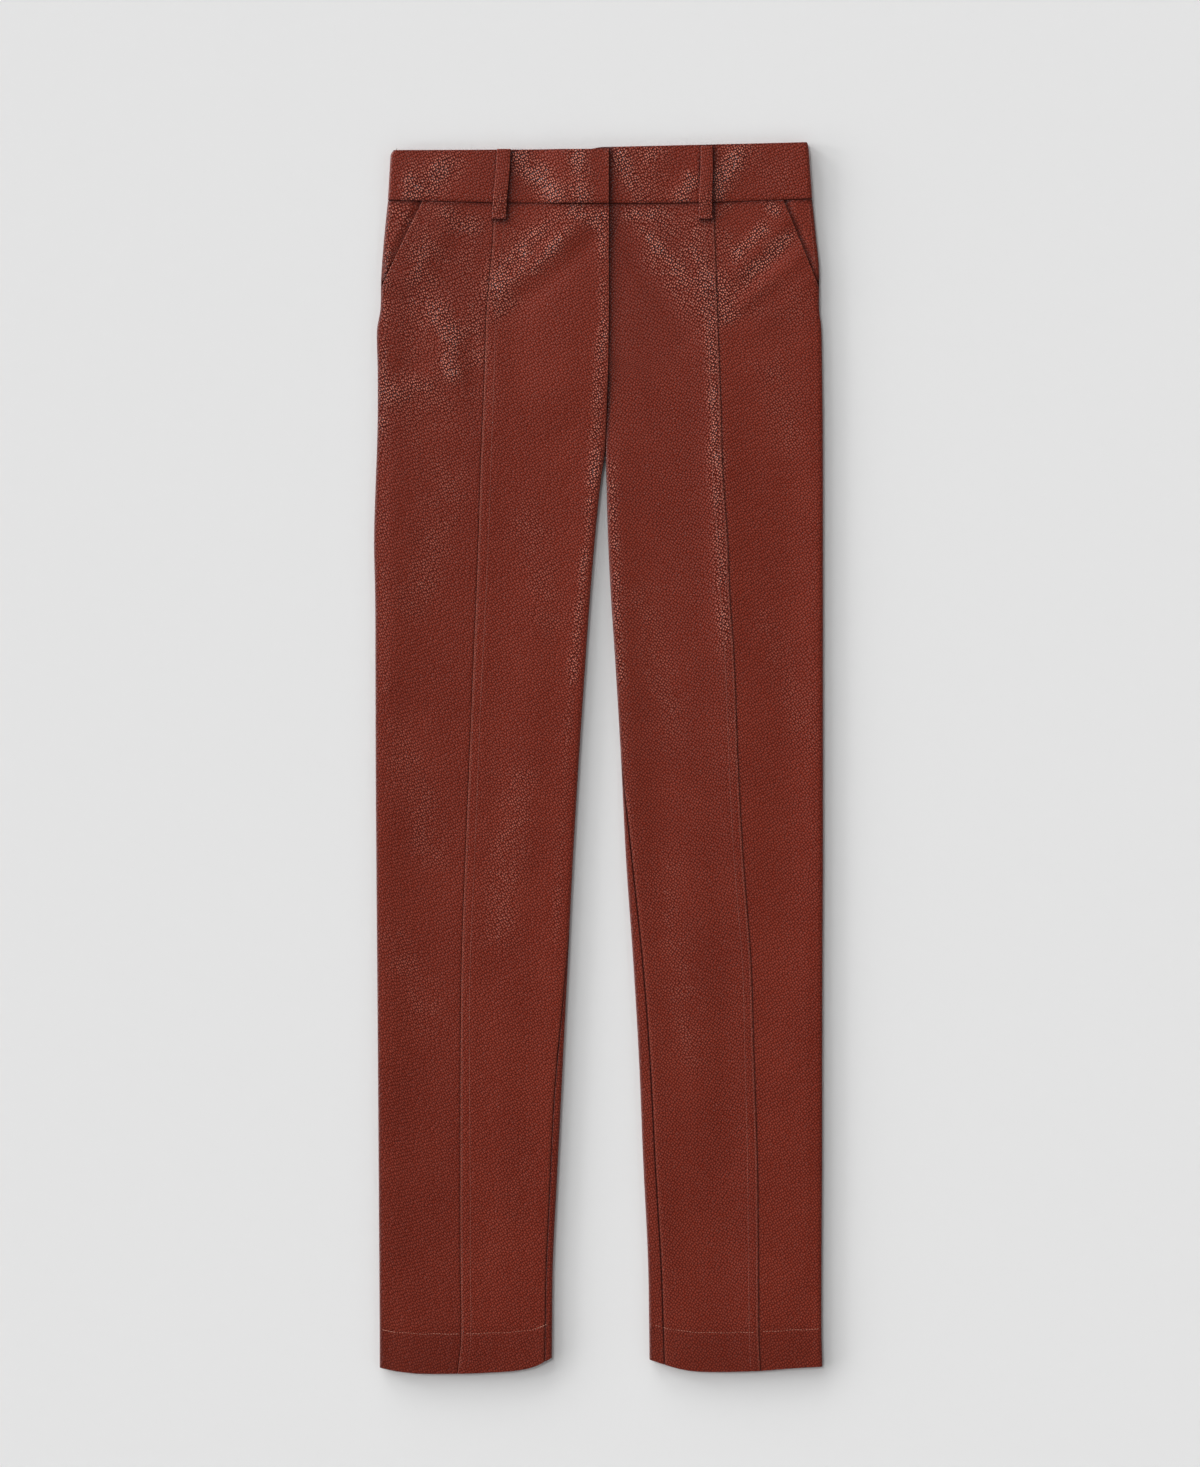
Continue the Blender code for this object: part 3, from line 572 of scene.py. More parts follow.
def around(leg, down, turn, lift=no_lift, reach=0.0):
    """The distance across and the height of the cloth's outer face at a turn."""
    width = leg.width(down) + reach
    rolled = curl(down)
    turn = np.where(turn > 5.0, turn - 6.0, turn)
    flat_run = width - 2.0 * ROLL_WIDTH

    under_across = ROLL_WIDTH + np.where(turn > 4.0, 5.0 - turn, -1.0 - turn) * flat_run
    top_across = ROLL_WIDTH + (turn - 1.0) * flat_run
    side_across = ROLL_WIDTH * (1.0 - np.cos(np.clip(turn, -1.0, 1.0) * QUARTER))
    inner_turn = np.clip(3.0 - turn, -1.0, 1.0)
    inner_across = width - ROLL_WIDTH * (1.0 - np.cos(inner_turn * QUARTER))

    def top(across):
        return front_height(leg, across, down) + lift(leg, across, down)

    side_height = round_edge(np.clip(turn, -1.0, 1.0), top(side_across), 0.0)[1]
    inner_top = top(inner_across)
    inner_floor = back_lift(leg.x(inner_across, down), down)
    inner_height = round_edge(inner_turn, inner_top, inner_floor)[1]
    pressed = np.where(turn <= 3.0, inner_top, inner_floor)
    inner_height = pressed + (inner_height - pressed) * rolled

    places = [(turn < -1.0) | (turn > 4.0), turn <= 1.0, turn <= 2.0]
    across = np.select(places, [under_across, side_across, top_across], inner_across)
    under = under_height(leg, under_across, down)
    height = np.select(places, [under, side_height, top(top_across)], inner_height)
    return across, height


def turn_at(leg, down, across, reach=0.0):
    """The turn whose point on the front lies this far from the side edge."""
    width = leg.width(down) + reach
    on_side = np.arccos(1.0 - np.clip(across, 0.0, ROLL_WIDTH) / ROLL_WIDTH) / QUARTER
    left_over = np.clip(width - across, 0.0, ROLL_WIDTH)
    on_inner = 3.0 - np.arccos(1.0 - left_over / ROLL_WIDTH) / QUARTER
    on_top = 1.0 + (across - ROLL_WIDTH) / (width - 2.0 * ROLL_WIDTH)
    return np.select([across < ROLL_WIDTH, across > width - ROLL_WIDTH], [on_side, on_inner], on_top)


def inseam_turn(leg, down, past):
    """The turn of the inseam. past shifts it along the cloth, towards the back if positive."""
    quarter_run = QUARTER * (ROLL_WIDTH + ROLL_MIDDLE) / 2.0
    turned = leg.inseam_turned(down)
    rolled = np.arccos(1.0 - np.minimum(turned, ROLL_WIDTH) / ROLL_WIDTH) / QUARTER
    along = quarter_run * rolled + np.maximum(turned - ROLL_WIDTH, 0.0) - past
    on_top = turn_at(leg, down, leg.width(down) - ROLL_WIDTH - (along - quarter_run))
    return np.where(along <= quarter_run, 3.0 - along / quarter_run, on_top)


print("turn of the inseam at the hem:",
      {half: round(float(inseam_turn(leg, HEM, 0.0)), 2) for half, leg in LEGS.items()})

# %% [markdown]
# ## From a grid to a piece of cloth
#
# Every piece starts as a flat grid, which is what a cut piece of cloth is. Its points are then
# moved onto the form. The grid's own coordinates become the cloth's: they are measured along
# the surface in metres, so the grain that follows them is neither stretched nor squeezed where
# the cloth rolls over. Solidify gives the sheet its wall, on the inside, and a small bevel
# rounds its edges, as a folded edge is round.

# %% A sheet of cloth
CLOTH = 1.2
HEM_CLOTH = 2.2
EDGE_ROW = 0.6
EDGE_ROUND = 0.32
EDGE_ANGLE = 62.0
SHEETS = {}
# shine gives gloss, taller pebbles and painted glints; fold paints folded edges paler, for wear and a
# painted highlight; seam holds the panels' tones and all the painted shade.
Look = namedtuple("Look", "shine fold seam")


def to_world(x, down, height):
    """Points of the garment in the frame's axes, in millimetres."""
    return np.stack(np.broadcast_arrays(x, LENGTH / 2.0 - down, height), axis=-1)


def on_leg(leg, across, down, height):
    """Points of one half of the garment, with the waist and the hem bent to their true line."""
    return to_world(leg.x(across, down), leg.true_down(down, across), height)


def rows_between(start, end, inset, count):
    """Distances down a piece. Two rows close to each end leave room for the rounded edge."""
    even = np.linspace(start + inset, end - inset, count)
    return np.concatenate([[start, start + EDGE_ROW], even, [end - EDGE_ROW, end]])[:, None]


def cloth_lengths(points, axis, anchor):
    """Distance along the surface from the anchor row or column, through every point."""
    steps = np.linalg.norm(np.diff(points, axis=axis), axis=-1)
    start = np.zeros_like(np.take(steps, [0], axis=axis))
    lengths = np.concatenate([start, np.cumsum(steps, axis=axis)], axis=axis)
    return lengths - np.take(lengths, [anchor], axis=axis)


def from_ends(points):
    """How far along the cloth every point is from its row's first and last points."""
    return cloth_lengths(points, 1, 0), -cloth_lengths(points, 1, points.shape[1] - 1)


def lay_grid(name, points, flip):
    """A grid of points, moved from flat onto the form. Row 0 is at its upper edge."""
    rows, columns = points.shape[:2]
    bpy.ops.object.select_all(action="DESELECT")
    bpy.ops.mesh.primitive_grid_add(x_subdivisions=columns - 1, y_subdivisions=rows - 1, size=1.0)
    sheet = bpy.context.object
    sheet.name = sheet.data.name = name
    mesh = sheet.data
    flat = np.empty(len(mesh.vertices) * 3)
    mesh.vertices.foreach_get("co", flat)
    flat = flat.reshape(-1, 3)
    column = np.rint((flat[:, 0] + 0.5) * (columns - 1)).astype(int)
    row = np.rint((0.5 - flat[:, 1]) * (rows - 1)).astype(int)
    mesh.vertices.foreach_set("co", (points[row, column] * MM).ravel())
    if flip:
        mesh.flip_normals()
    return sheet, row, column


def set_cloth_map(mesh, across, along, row, column, grain_angle):
    """Writes the cloth's own coordinates, in metres, turned so that the grain runs right."""
    turn = math.radians(grain_angle)
    u = (across * math.cos(turn) - along * math.sin(turn)) * MM
    v = (across * math.sin(turn) + along * math.cos(turn)) * MM
    corner = np.empty(len(mesh.loops), dtype=np.int32)
    mesh.loops.foreach_get("vertex_index", corner)
    both = np.stack([u[row, column], v[row, column]], axis=-1)[corner]
    mesh.uv_layers.active.name = "cloth"
    mesh.uv_layers.active.data.foreach_set("uv", both.ravel())


def set_look(mesh, look, row, column):
    """Stores the shine streaks, the folded edges painted paler for wear and a highlight, and the tones
    with the painted shade.
    """
    shape = (row.max() + 1, column.max() + 1)
    for name, values in look._asdict().items():
        layer = mesh.attributes.new(name=name, type="FLOAT", domain="POINT")
        values = np.clip(np.broadcast_to(values, shape), 0.0, 1.0)
        layer.data.foreach_set("value", values[row, column].astype(np.float32))


def set_wall(sheet, thickness, row, column):
    """Gives each point its share of the hem's double thickness, for Solidify to read."""
    group = sheet.vertex_groups.new(name="wall")
    shares = np.round(thickness[row, column] / HEM_CLOTH, 2)
    for share in np.unique(shares):
        group.add(np.nonzero(shares == share)[0].tolist(), float(share), "REPLACE")


def finish_wall(sheet, edge_round, thickest):
    """Solidify inwards, round the edges, and apply both."""
    solid = sheet.modifiers.new("wall", "SOLIDIFY")
    solid.thickness = thickest * MM
    solid.offset = -1.0
    if "wall" in sheet.vertex_groups:
        solid.vertex_group = "wall"
    edge = sheet.modifiers.new("edge", "BEVEL")
    edge.width = edge_round * MM
    edge.segments = 3
    edge.limit_method = "ANGLE"
    edge.angle_limit = math.radians(EDGE_ANGLE)
    edge.use_clamp_overlap = False
    bpy.context.view_layer.objects.active = sheet
    for modifier in ("wall", "edge"):
        bpy.ops.object.modifier_apply(modifier=modifier)
    sheet.vertex_groups.clear()
    sheet.data.shade_smooth()


def make_sheet(node, slot, points, look, flip, grain_angle, anchor=0, thickness=None,
               thickest=HEM_CLOTH, edge_round=EDGE_ROUND):
    """One piece of cloth, from its points on the form to a finished wall."""
    name = node + "_cloth"
    sheet, row, column = lay_grid(name, points, flip)
    across = cloth_lengths(points, 1, anchor)
    along = cloth_lengths(points, 0, 0)
    set_cloth_map(sheet.data, across, along, row, column, grain_angle)
    set_look(sheet.data, look, row, column)
    if thickness is not None:
        set_wall(sheet, thickness, row, column)
    finish_wall(sheet, edge_round, thickest)
    sides = np.cross(points[1:, :-1] - points[:-1, :-1], points[:-1, 1:] - points[:-1, :-1])
    area = float(np.linalg.norm(sides, axis=-1).sum()) * MM ** 2
    flat = (float(np.ptp(across)) * MM, float(np.ptp(along)) * MM)
    SHEETS[name] = dict(piece=sheet, node=node, slot=slot, flat=flat, area=area)
    print(name, "faces:", len(sheet.data.polygons), "flat m:", [round(side, 3) for side in flat])


# %% [markdown]
# ## Where the leather shines
#
# Pressed, pebbled faux leather is glossier where it was rubbed and stretched, and there its
# grain stands up and glitters. On this pair those places are streaks along the folds, the rims
# of the legs and the fly. Each streak in the table has two ends, a half width and a strength.
# The strengths are stored on the points, and the material reads them: the streaks are glossier,
# their pebbles stand higher, and their pebble tops are painted paler as glints, with painted
# shade in the grooves between.

# %% Shine table
Streak = namedtuple("Streak", "x_from down_from x_to down_to width shine")
BAND_STREAKS = rows_of(Streak, [
    (-174, 42, -142, 30, 18, 0.85),
    (-140, 30, -120, 14, 11, 0.4),
    (-179, 47, -168, 47, 7, 0.6),
    (-74, 12, -36, 49, 12, 0.85),
    (-60, 14, -46, 34, 12, 0.4),
    (-19, 12, -14, 49, 13, 0.75),
    (20, 18, 39, 47, 10, 0.85),
    (16, 10, 58, 10, 9, 0.5),
    (46, 18, 50, 40, 16, 0.35),
    (82, 33, 74, 49, 9, 0.9),
    (120, 9, 103, 42, 12, 1.0),
    (136, 14, 168, 40, 24, 0.25),
])
FRONT_STREAKS = rows_of(Streak, [
    (-165, 80, -160, 230, 50, 0.31),
    (-110, 80, -110, 220, 30, 0.2),
    (-30, 70, -85, 130, 34, 0.25),
    (55, 70, 90, 140, 36, 0.3),
    (140, 90, 120, 110, 26, 0.2),
    (120, 130, 175, 140, 26, 0.28),
    (-150, 300, -130, 800, 60, 0.08),
    (-60, 300, -76, 800, 40, 0.06),
    (60, 300, 76, 800, 50, 0.06),
    (-152, 92, -160, 148, 12, 0.45),
    (-143, 152, -126, 172, 11, 0.7),
    (-130, 176, -129, 206, 7, 0.75),
    (-141, 57, -112, 72, 9, 0.5),
    (-176, 60, -166, 70, 7, 0.45),
    (-184, 222, -160, 214, 12, 0.45),
    (-110, 150, -104, 190, 8, 0.35),
    (-62, 84, -90, 132, 12, 0.7),
    (-26, 76, -55, 110, 5.5, 0.9),
    (-30, 62, -52, 76, 8, 0.45),
    (-76, 138, -86, 150, 7, 0.55),
    (-20, 57, 2, 66, 9, 0.85),
    (26, 61, 46, 62, 6, 0.8),
    (38, 76, 69, 109, 5.5, 0.9),
    (48, 62, 92, 78, 12, 0.4),
    (84, 92, 100, 140, 9, 0.7),
    (52, 102, 94, 150, 12, 0.5),
    (146, 74, 121, 99, 6, 0.85),
    (167, 84, 129, 119, 7, 0.85),
    (108, 84, 114, 90, 8, 0.5),
    (150, 55, 156, 62, 6, 0.7),
    (104, 62, 114, 56, 5, 0.5),
    (106, 130, 112, 150, 10, 0.5),
    (106, 154, 119, 148, 5, 0.7),
    (-184, 56, -190, 250, 3.9, 0.45),
    (-190, 250, -188, 480, 6.5, 0.26),
    (4, 66, 4, 170, 5.2, 0.52),
    (3, 164, -4, 300, 6.5, 0.68),
    (-5, 290, -22, 470, 5.2, 0.56),
    (-22, 450, -38, 700, 5.2, 0.26),
    (-130, 300, -160, 400, 20, 0.3),
    (-60, 330, -40, 420, 18, 0.25),
    (-174, 520, -148, 620, 19.5, 0.27),
    (-70, 560, -88, 690, 18, 0.3),
    (-180, 700, -150, 770, 18, 0.23),
    (-60, 880, -90, 980, 20, 0.15),
    (99, 160, 104, 290, 6.5, 0.8),
    (103, 280, 111, 440, 7.8, 0.6),
    (111, 430, 120, 560, 7.8, 0.26),
    (12, 284, 18, 470, 5.2, 0.6),
    (18, 450, 28, 640, 5.2, 0.26),
    (150, 190, 168, 260, 20, 0.3),
    (40, 400, 64, 520, 18, 0.25),
    (150, 420, 180, 520, 18, 0.25),
    (60, 640, 80, 800, 20, 0.2),
    (188, 300, 190, 700, 6.5, 0.15),
])
BACK_STREAKS = rows_of(Streak, [
    (16, 92, 90, 150, 9, 0.8),
    (4, 118, -76, 176, 10, 0.8),
    (-170, 90, -140, 180, 14, 0.5),
    (150, 80, 176, 160, 14, 0.5),
    (-100, 320, -92, 560, 12, 0.5),
    (112, 300, 112, 540, 12, 0.5),
    (-170, 540, -80, 590, 12, 0.6),
    (60, 560, 160, 600, 12, 0.6),
])
print("streaks:", len(BAND_STREAKS) + len(FRONT_STREAKS) + len(BACK_STREAKS))


# %% Shine at a place
def shine_at(streaks, x, down):
    """0 where the leather is dull, up to 1 in the middle of a streak."""
    dull = np.ones(np.broadcast(x, down).shape)
    for streak in streaks:
        along, off, length = by_line(streak, x, down)
        past_end = along - np.clip(along, 0.0, length)
        dull = dull * (1.0 - streak.shine * bell(np.hypot(off, past_end), streak.width))
    return 1.0 - dull


print("shine on the fly's edge:", round(float(shine_at(FRONT_STREAKS, 4.0, 120.0)), 2))

# %% [markdown]
# ## Tones, and painted shade
#
# Each front panel has its own tone, darker down the shin and in the hem. Dark marks are
# painted where shade falls: beside the fly, round the belt loops, under the band, along the
# seams and on the rolls that face the low lights. Both are stored on the cloth's points too.

# %% Tones and painted shade
Tone = namedtuple("Tone", "thigh shin")
TONES = {
    "side_front_right": Tone(0.09, 0.21),
    "centre_front_right": Tone(0.0, 0.06),
    "centre_front_left": Tone(0.06, 0.12),
    "side_front_left": Tone(0.02, 0.06),
}
THIGH_END = 650.0
SHIN_START = 1000.0
HEM_TONE = 0.18
RIM_SHADE = 0.8
RIM_FADE = (0.35, 0.95)
LOOP_SHADE = 1.1
LOOP_SHADE_RIGHT = 2.6
LOOP_SHADE_LEFT = 0.8
LOOP_SHADE_BELOW = 1.8
FLY_SHADE = 1.4
FLY_SHADE_WIDE = 3.6
FLY_SHADE_NARROW = 1.6
FLY_SHADE_NARROWS = (60.0, 190.0)
FLY_SHADE_FADE = (250.0, 275.0)
WAIST_SHADE = 0.6
LAP_CREASE_SHADE = 0.5
LAP_CREASE_TOP = WAIST_SEAM + 6.0
LAP_CREASE_RUN = 22.0
LAP_CREASE_X = 18.0
LAP_CREASE_LEAN = 6.0


def tone(panel, down):
    """How dark a panel is as a whole, and darker yet where its hem is double."""
    part = smooth(THIGH_END, SHIN_START, down)
    whole = TONES[panel].thigh + (TONES[panel].shin - TONES[panel].thigh) * part
    return whole + HEM_TONE * smooth(HEM - HEM_DEPTH - 1.0, HEM - HEM_DEPTH + 2.0, down)


def rim_shade(leg, turn):
    """Painted shade on the rolls that face the low lights: the outer roll of the right leg, and the inner
    roll of the left one.
    """
    turn = np.where(turn > 5.0, turn - 6.0, turn)
    off_rim = np.abs(turn) if leg.name == "right" else np.abs(turn - 3.0)
    return RIM_SHADE * fade(*RIM_FADE, off_rim)


def loop_shade(leg, x, down):
    """The painted shadow that a belt loop casts on what lies beneath it, wider on the side away from the
    light.
    """
    loop = FRONT_LOOPS[leg.name]
    part = np.clip((down - loop.top_down) / (LOOP_BOTTOM - loop.top_down), 0.0, 1.0)
    off_middle = x - loop.top_x - (loop.bottom_x - loop.top_x) * part
    half = loop.bottom_width / 2.0
    right = bell(np.maximum(off_middle - half, 0.0), LOOP_SHADE_RIGHT)
    left = bell(np.maximum(-off_middle - half, 0.0), LOOP_SHADE_LEFT)
    return LOOP_SHADE * right * left * bell(np.maximum(down - LOOP_BOTTOM, 0.0), LOOP_SHADE_BELOW)


def fly_shade(x, down):
    """A painted shadow on the left half, beside the edge that laps over it."""
    beside = x - LEGS["right"].at("inner", np.maximum(down, WAIST_SEAM))
    narrower = (FLY_SHADE_WIDE - FLY_SHADE_NARROW) * smooth(*FLY_SHADE_NARROWS, down)
    shade = FLY_SHADE * bell(np.maximum(beside, 0.0), FLY_SHADE_WIDE - narrower)
    return shade * fade(*FLY_SHADE_FADE, down)


def waist_shade(down):
    """A painted shadow below the waistband's seam."""
    return WAIST_SHADE * bell(down - WAIST_SEAM, 2.2)


def crease_shade(x, down):
    """Painted shade of a short sharp crease beside the fly, where the lap pulls at the left half. The
    crease itself isn't modelled.
    """
    part = (down - LAP_CREASE_TOP) / LAP_CREASE_RUN
    beside = x - LAP_CREASE_X + LAP_CREASE_LEAN * np.clip(part, 0.0, 1.0)
    past_end = LAP_CREASE_RUN * np.maximum(np.abs(part - 0.5) - 0.5, 0.0)
    return LAP_CREASE_SHADE * bell(beside, 1.8) * bell(past_end, 3.0)


def front_shade(panel, leg, x, down, turn):
    """The tone and the painted shade that every front panel gets: on the rims, below the band and beside
    the loops.
    """
    marks = tone(panel + leg.name, down) + rim_shade(leg, turn)
    return marks + waist_shade(down) + loop_shade(leg, x, down)


print("tone at the hem:", {panel: round(float(tone(panel, HEM)), 2) for panel in TONES})

# %% [markdown]
# ## The front panels
#
# Each front has two panels. Points are close together near a seam, where the form changes
# quickly, and even between. The small dips and puckers beside the seams are added to the height
# here: the thread pulls the leather down in a shallow groove, and between the stitches it
# swells a little.

# %% Rows and columns of the fronts
NEAR_SEAM = np.array(
    [0.0, 0.5, 1.0, 1.6, 2.3, 3.1, 4.0, 4.9, 5.8, 6.6, 7.3, 7.9, 8.5, 9.2, 10.0, 11.0, 12.2])
NEAR_ROLL = np.array(
    [0.0, 0.1, 0.3, 0.6, 0.95, 1.4, 1.95, 2.6, 3.3, 4.1, 5.0, 6.0, 7.1, 8.3, 9.6, 11.0, 12.5])
ROLLED_BELOW = 1.5
HALF_GAP_TURN = SEAM_GAP / 2.0 / ROLL_MIDDLE / QUARTER
MIDDLE_COLUMNS = 30
FRONT_ROWS = rows_between(WAIST_SEAM, HEM, 1.4, 372)


def front_columns(start, end, start_rolled, end_rolled):
    """Distances across for every row. rolled says how far an edge lies on a roll, 0 to 1."""
    first = start + NEAR_SEAM + (NEAR_ROLL - NEAR_SEAM) * start_rolled
    last = end - (NEAR_SEAM + (NEAR_ROLL - NEAR_SEAM) * end_rolled)[..., ::-1]
    part = np.linspace(0.0, 1.0, MIDDLE_COLUMNS + 2)[1:-1]
    middle = first[:, -1:] + (last[:, :1] - first[:, -1:]) * part
    return np.concatenate([first, middle, last], axis=1)


print("rows:", len(FRONT_ROWS), "columns:", 2 * len(NEAR_SEAM) + MIDDLE_COLUMNS)

# %% Seam relief: grooves, dips and puckers
EDGE_STITCH = 1.3
LAP_STITCH = 8.0
HEM_STITCH = HEM_DEPTH - 1.5
STITCH_PITCH = 2.5
GROOVE_DEPTH = 0.07
GROOVE_WIDTH = 0.9
SECOND_GROOVE = 0.6
SEAM_DIP = 0.12
SEAM_DIP_WIDTH = 1.4
HEM_GROOVE = 0.3
HEM_FULLNESS = 0.12
HEM_FULLNESS_WIDTH = 12.0
INSEAM_DIP = 0.3
DIP_WIDTH = 1.3
PUCKER_HEIGHT = 0.05
Pucker = namedtuple("Pucker", "off width length shift")
CENTRE_PUCKERS = rows_of(Pucker, [
    (4.5, 4.0, 9.0, 0.4),
    (12.0, 5.0, 13.0, 2.0),
])
SIDE_PUCKERS = rows_of(Pucker, [
    (3.0, 5.0, 10.0, 1.3),
])


def puckers(rows, from_seam, down):
    """Slow, uneven waves along a seam. Each is made of two, whose lengths don't match."""
    total = 0.0
    for row in rows:
        wave = np.sin(down / row.length * 2.0 * math.pi + row.shift)
        wave = wave * np.sin(down / (row.length * 2.7) * 2.0 * math.pi + row.shift * 1.7)
        total = total + bell(from_seam - row.off, row.width) * wave
    return PUCKER_HEIGHT * total


def lap_row(down):
    """Where the second row of stitches runs, from the folded edge. No row is quite straight."""
    return LAP_STITCH + 0.5 * np.sin(down / 140.0) + 0.3 * np.sin(down / 47.0 + 1.0)


def centre_relief(leg, across, down):
    """The centre panel's grooves under both rows of stitches, and its puckers."""
    from_seam = across - leg.seam_across(down)
    groove = bell(from_seam - EDGE_STITCH, GROOVE_WIDTH)
    groove = groove + SECOND_GROOVE * bell(from_seam - lap_row(down), GROOVE_WIDTH)
    return -GROOVE_DEPTH * groove + puckers(CENTRE_PUCKERS, from_seam, down)


def side_relief(leg, across, down):
    """The side panel dips to the seam that laps over it, and puckers a little."""
    from_seam = leg.seam_across(down) - across
    return -SEAM_DIP * bell(from_seam, SEAM_DIP_WIDTH) + puckers(SIDE_PUCKERS, from_seam, down)


def hem_relief(down):
    """A groove along the hem's stitches, and a slight fullness below them."""
    from_hem = HEM - down
    groove = HEM_GROOVE * bell(from_hem - HEM_STITCH, DIP_WIDTH)
    return HEM_FULLNESS * bell(from_hem - HEM_STITCH / 2.0, HEM_FULLNESS_WIDTH) - groove


def hem_wall(down, turn):
    """The wall is double where the hem is folded up inside, and thinner round the rolls."""
    nearest_roll = np.select([turn < 1.5, turn < 4.5], [0.0, 3.0], 6.0)
    flat = 1.0 - np.cos(np.minimum(np.abs(turn - nearest_roll), 1.0) * QUARTER)
    hemmed = smooth(HEM - HEM_DEPTH - 2.0, HEM - HEM_DEPTH + 3.0, down)
    return CLOTH + (HEM_CLOTH - CLOTH) * hemmed * flat


print("wall above and in the hem mm:", [round(float(hem_wall(down, 2.0)), 2) for down in (CROTCH, HEM)])

# %% Side fronts
SEAM_SHADE = 1.0
FOLD_SHADE = 0.8
INSEAM_SHADE = 0.7
CLOSE_GAP = 0.1
SIDE_GRAIN = 28.0
CENTRE_GRAIN = 30.0


def leg_points(leg, down, turn, lift, relief, reach=0.0):
    """Points of a panel, their x, and how far they are from both ends of their row."""
    across, height = around(leg, down, turn, lift, reach)
    points = on_leg(leg, across, down, height + relief)
    return points, leg.x(across, down), *from_ends(points)


def side_front(leg):
    """Outer front panel: from the side seam, or the pocket mouth, to the front seam."""
    down = FRONT_ROWS
    start = leg.pocket_across(down)
    seam = leg.seam_across(down) - CLOSE_GAP
    on_roll = fade(0.0, ROLLED_BELOW, start)
    turn = turn_at(leg, down, front_columns(start, seam, on_roll, 0.0))
    turn[:, :1] = np.maximum(turn[:, :1], HALF_GAP_TURN)
    across = around(leg, down, turn, no_lift)[0]
    relief = side_relief(leg, across, down) + hem_relief(down) * smooth(0.0, EDGE_FADE, across)
    points, x, from_start, from_end = leg_points(leg, down, turn, pocket_rise, relief)
    in_mouth = smooth(0.0, 2.0, start)
    # Paler pocket edge: rubbed wear and a painted highlight. Painted shade along the front seam, the side
    # seam below the pocket, and from front_shade.
    look = Look(
        shine=shine_at(FRONT_STREAKS, x, down),
        fold=bell(from_start, FOLD_SHADE) * in_mouth,
        seam=bell(from_end, SEAM_SHADE) + bell(from_start, SEAM_SHADE) * (1.0 - in_mouth) * 0.6
        + front_shade("side_front_", leg, x, down, turn),
    )
    make_sheet("side_front_" + leg.name, "leather_front", points, look, leg.inward < 0,
               SIDE_GRAIN * leg.inward, anchor=points.shape[1] - 1, thickness=hem_wall(down, turn))


for leg in LEGS.values():
    side_front(leg)

# %% [markdown]
# The centre fronts meet at the fly, where the wearer's right one laps over the left. Their
# outer edges are folded under and lap over the side fronts, which is what makes the long raised
# seam down the front of each leg.


# %% Centre fronts
def centre_front(leg, lift, extra):
    """Inner front panel: from the front seam to the fly above, and to the inseam below."""
    down = FRONT_ROWS
    seam = leg.seam_across(down)
    turned = leg.inseam_turned(down)
    end = leg.width(down) + extra - turned
    on_roll = curl(down) * fade(0.0, ROLLED_BELOW, turned)
    turn = turn_at(leg, down, front_columns(seam, end, 0.0, on_roll), extra)
    turn[:, -1:] = np.where(curl(down) < 1.0, 3.0, inseam_turn(leg, down, -SEAM_GAP / 2.0))
    across = around(leg, down, turn, no_lift, extra)[0]
    relief = centre_relief(leg, across, down)
    relief = relief + hem_relief(down) * smooth(0.0, EDGE_FADE, leg.width(down) - across + 4.0)
    from_end = end - across
    below_fly = smooth(FLY_END - 10.0, FLY_END + 20.0, down)
    dip = INSEAM_DIP * bell(from_end, DIP_WIDTH) * below_fly
    relief = relief - dip * (1.0 - curl(down) * (turned < 1.0))
    points, x, from_start, from_end = leg_points(leg, down, turn, lift, relief, extra)
    # Painted shade beside the fly's lapped edge and its crease, on the left half.
    painted_lap_shade = (fly_shade(x, down) + crease_shade(x, down)) * (leg.name == "left")
    # Paler folded edges: wear and a painted highlight. Painted shade along the inseam, beside the lap and
    # from front_shade.
    look = Look(
        shine=shine_at(FRONT_STREAKS, x, down),
        fold=bell(from_start, FOLD_SHADE) + bell(from_end, FOLD_SHADE) * (1.0 - below_fly)
        + bell(from_end - 1.6, FOLD_SHADE) * 0.5 * below_fly,
        seam=bell(from_end, INSEAM_SHADE) * below_fly + painted_lap_shade
        + front_shade("centre_front_", leg, x, down, turn),
    )
    make_sheet("centre_front_" + leg.name, "leather_front", points, look, leg.inward < 0,
               CENTRE_GRAIN, thickness=hem_wall(down, turn))


centre_front(LEGS["right"], fly_lift, 0.0)
centre_front(LEGS["left"], seam_lift, underlap(FRONT_ROWS))

# %% [markdown]
# ## The back panels and the pocket facings
#
# The back is hidden beneath the front, and lies on the table. It goes from the centre back and
# the inseam, under the leg, and up round the outer roll to the side seam. The real back isn't
# shown, so it is kept plain: a centre back seam, side seams and a stitched hem.

# %% Backs
BACK_GRAIN = 20.0
UNDER_COLUMNS = 64
ROLL_COLUMNS = 11
BACK_ROWS = rows_between(WAIST_SEAM, HEM, 2.0, 240)
BESIDE_SEAM = np.array([[0.0, 0.6, 1.2, 2.0]])


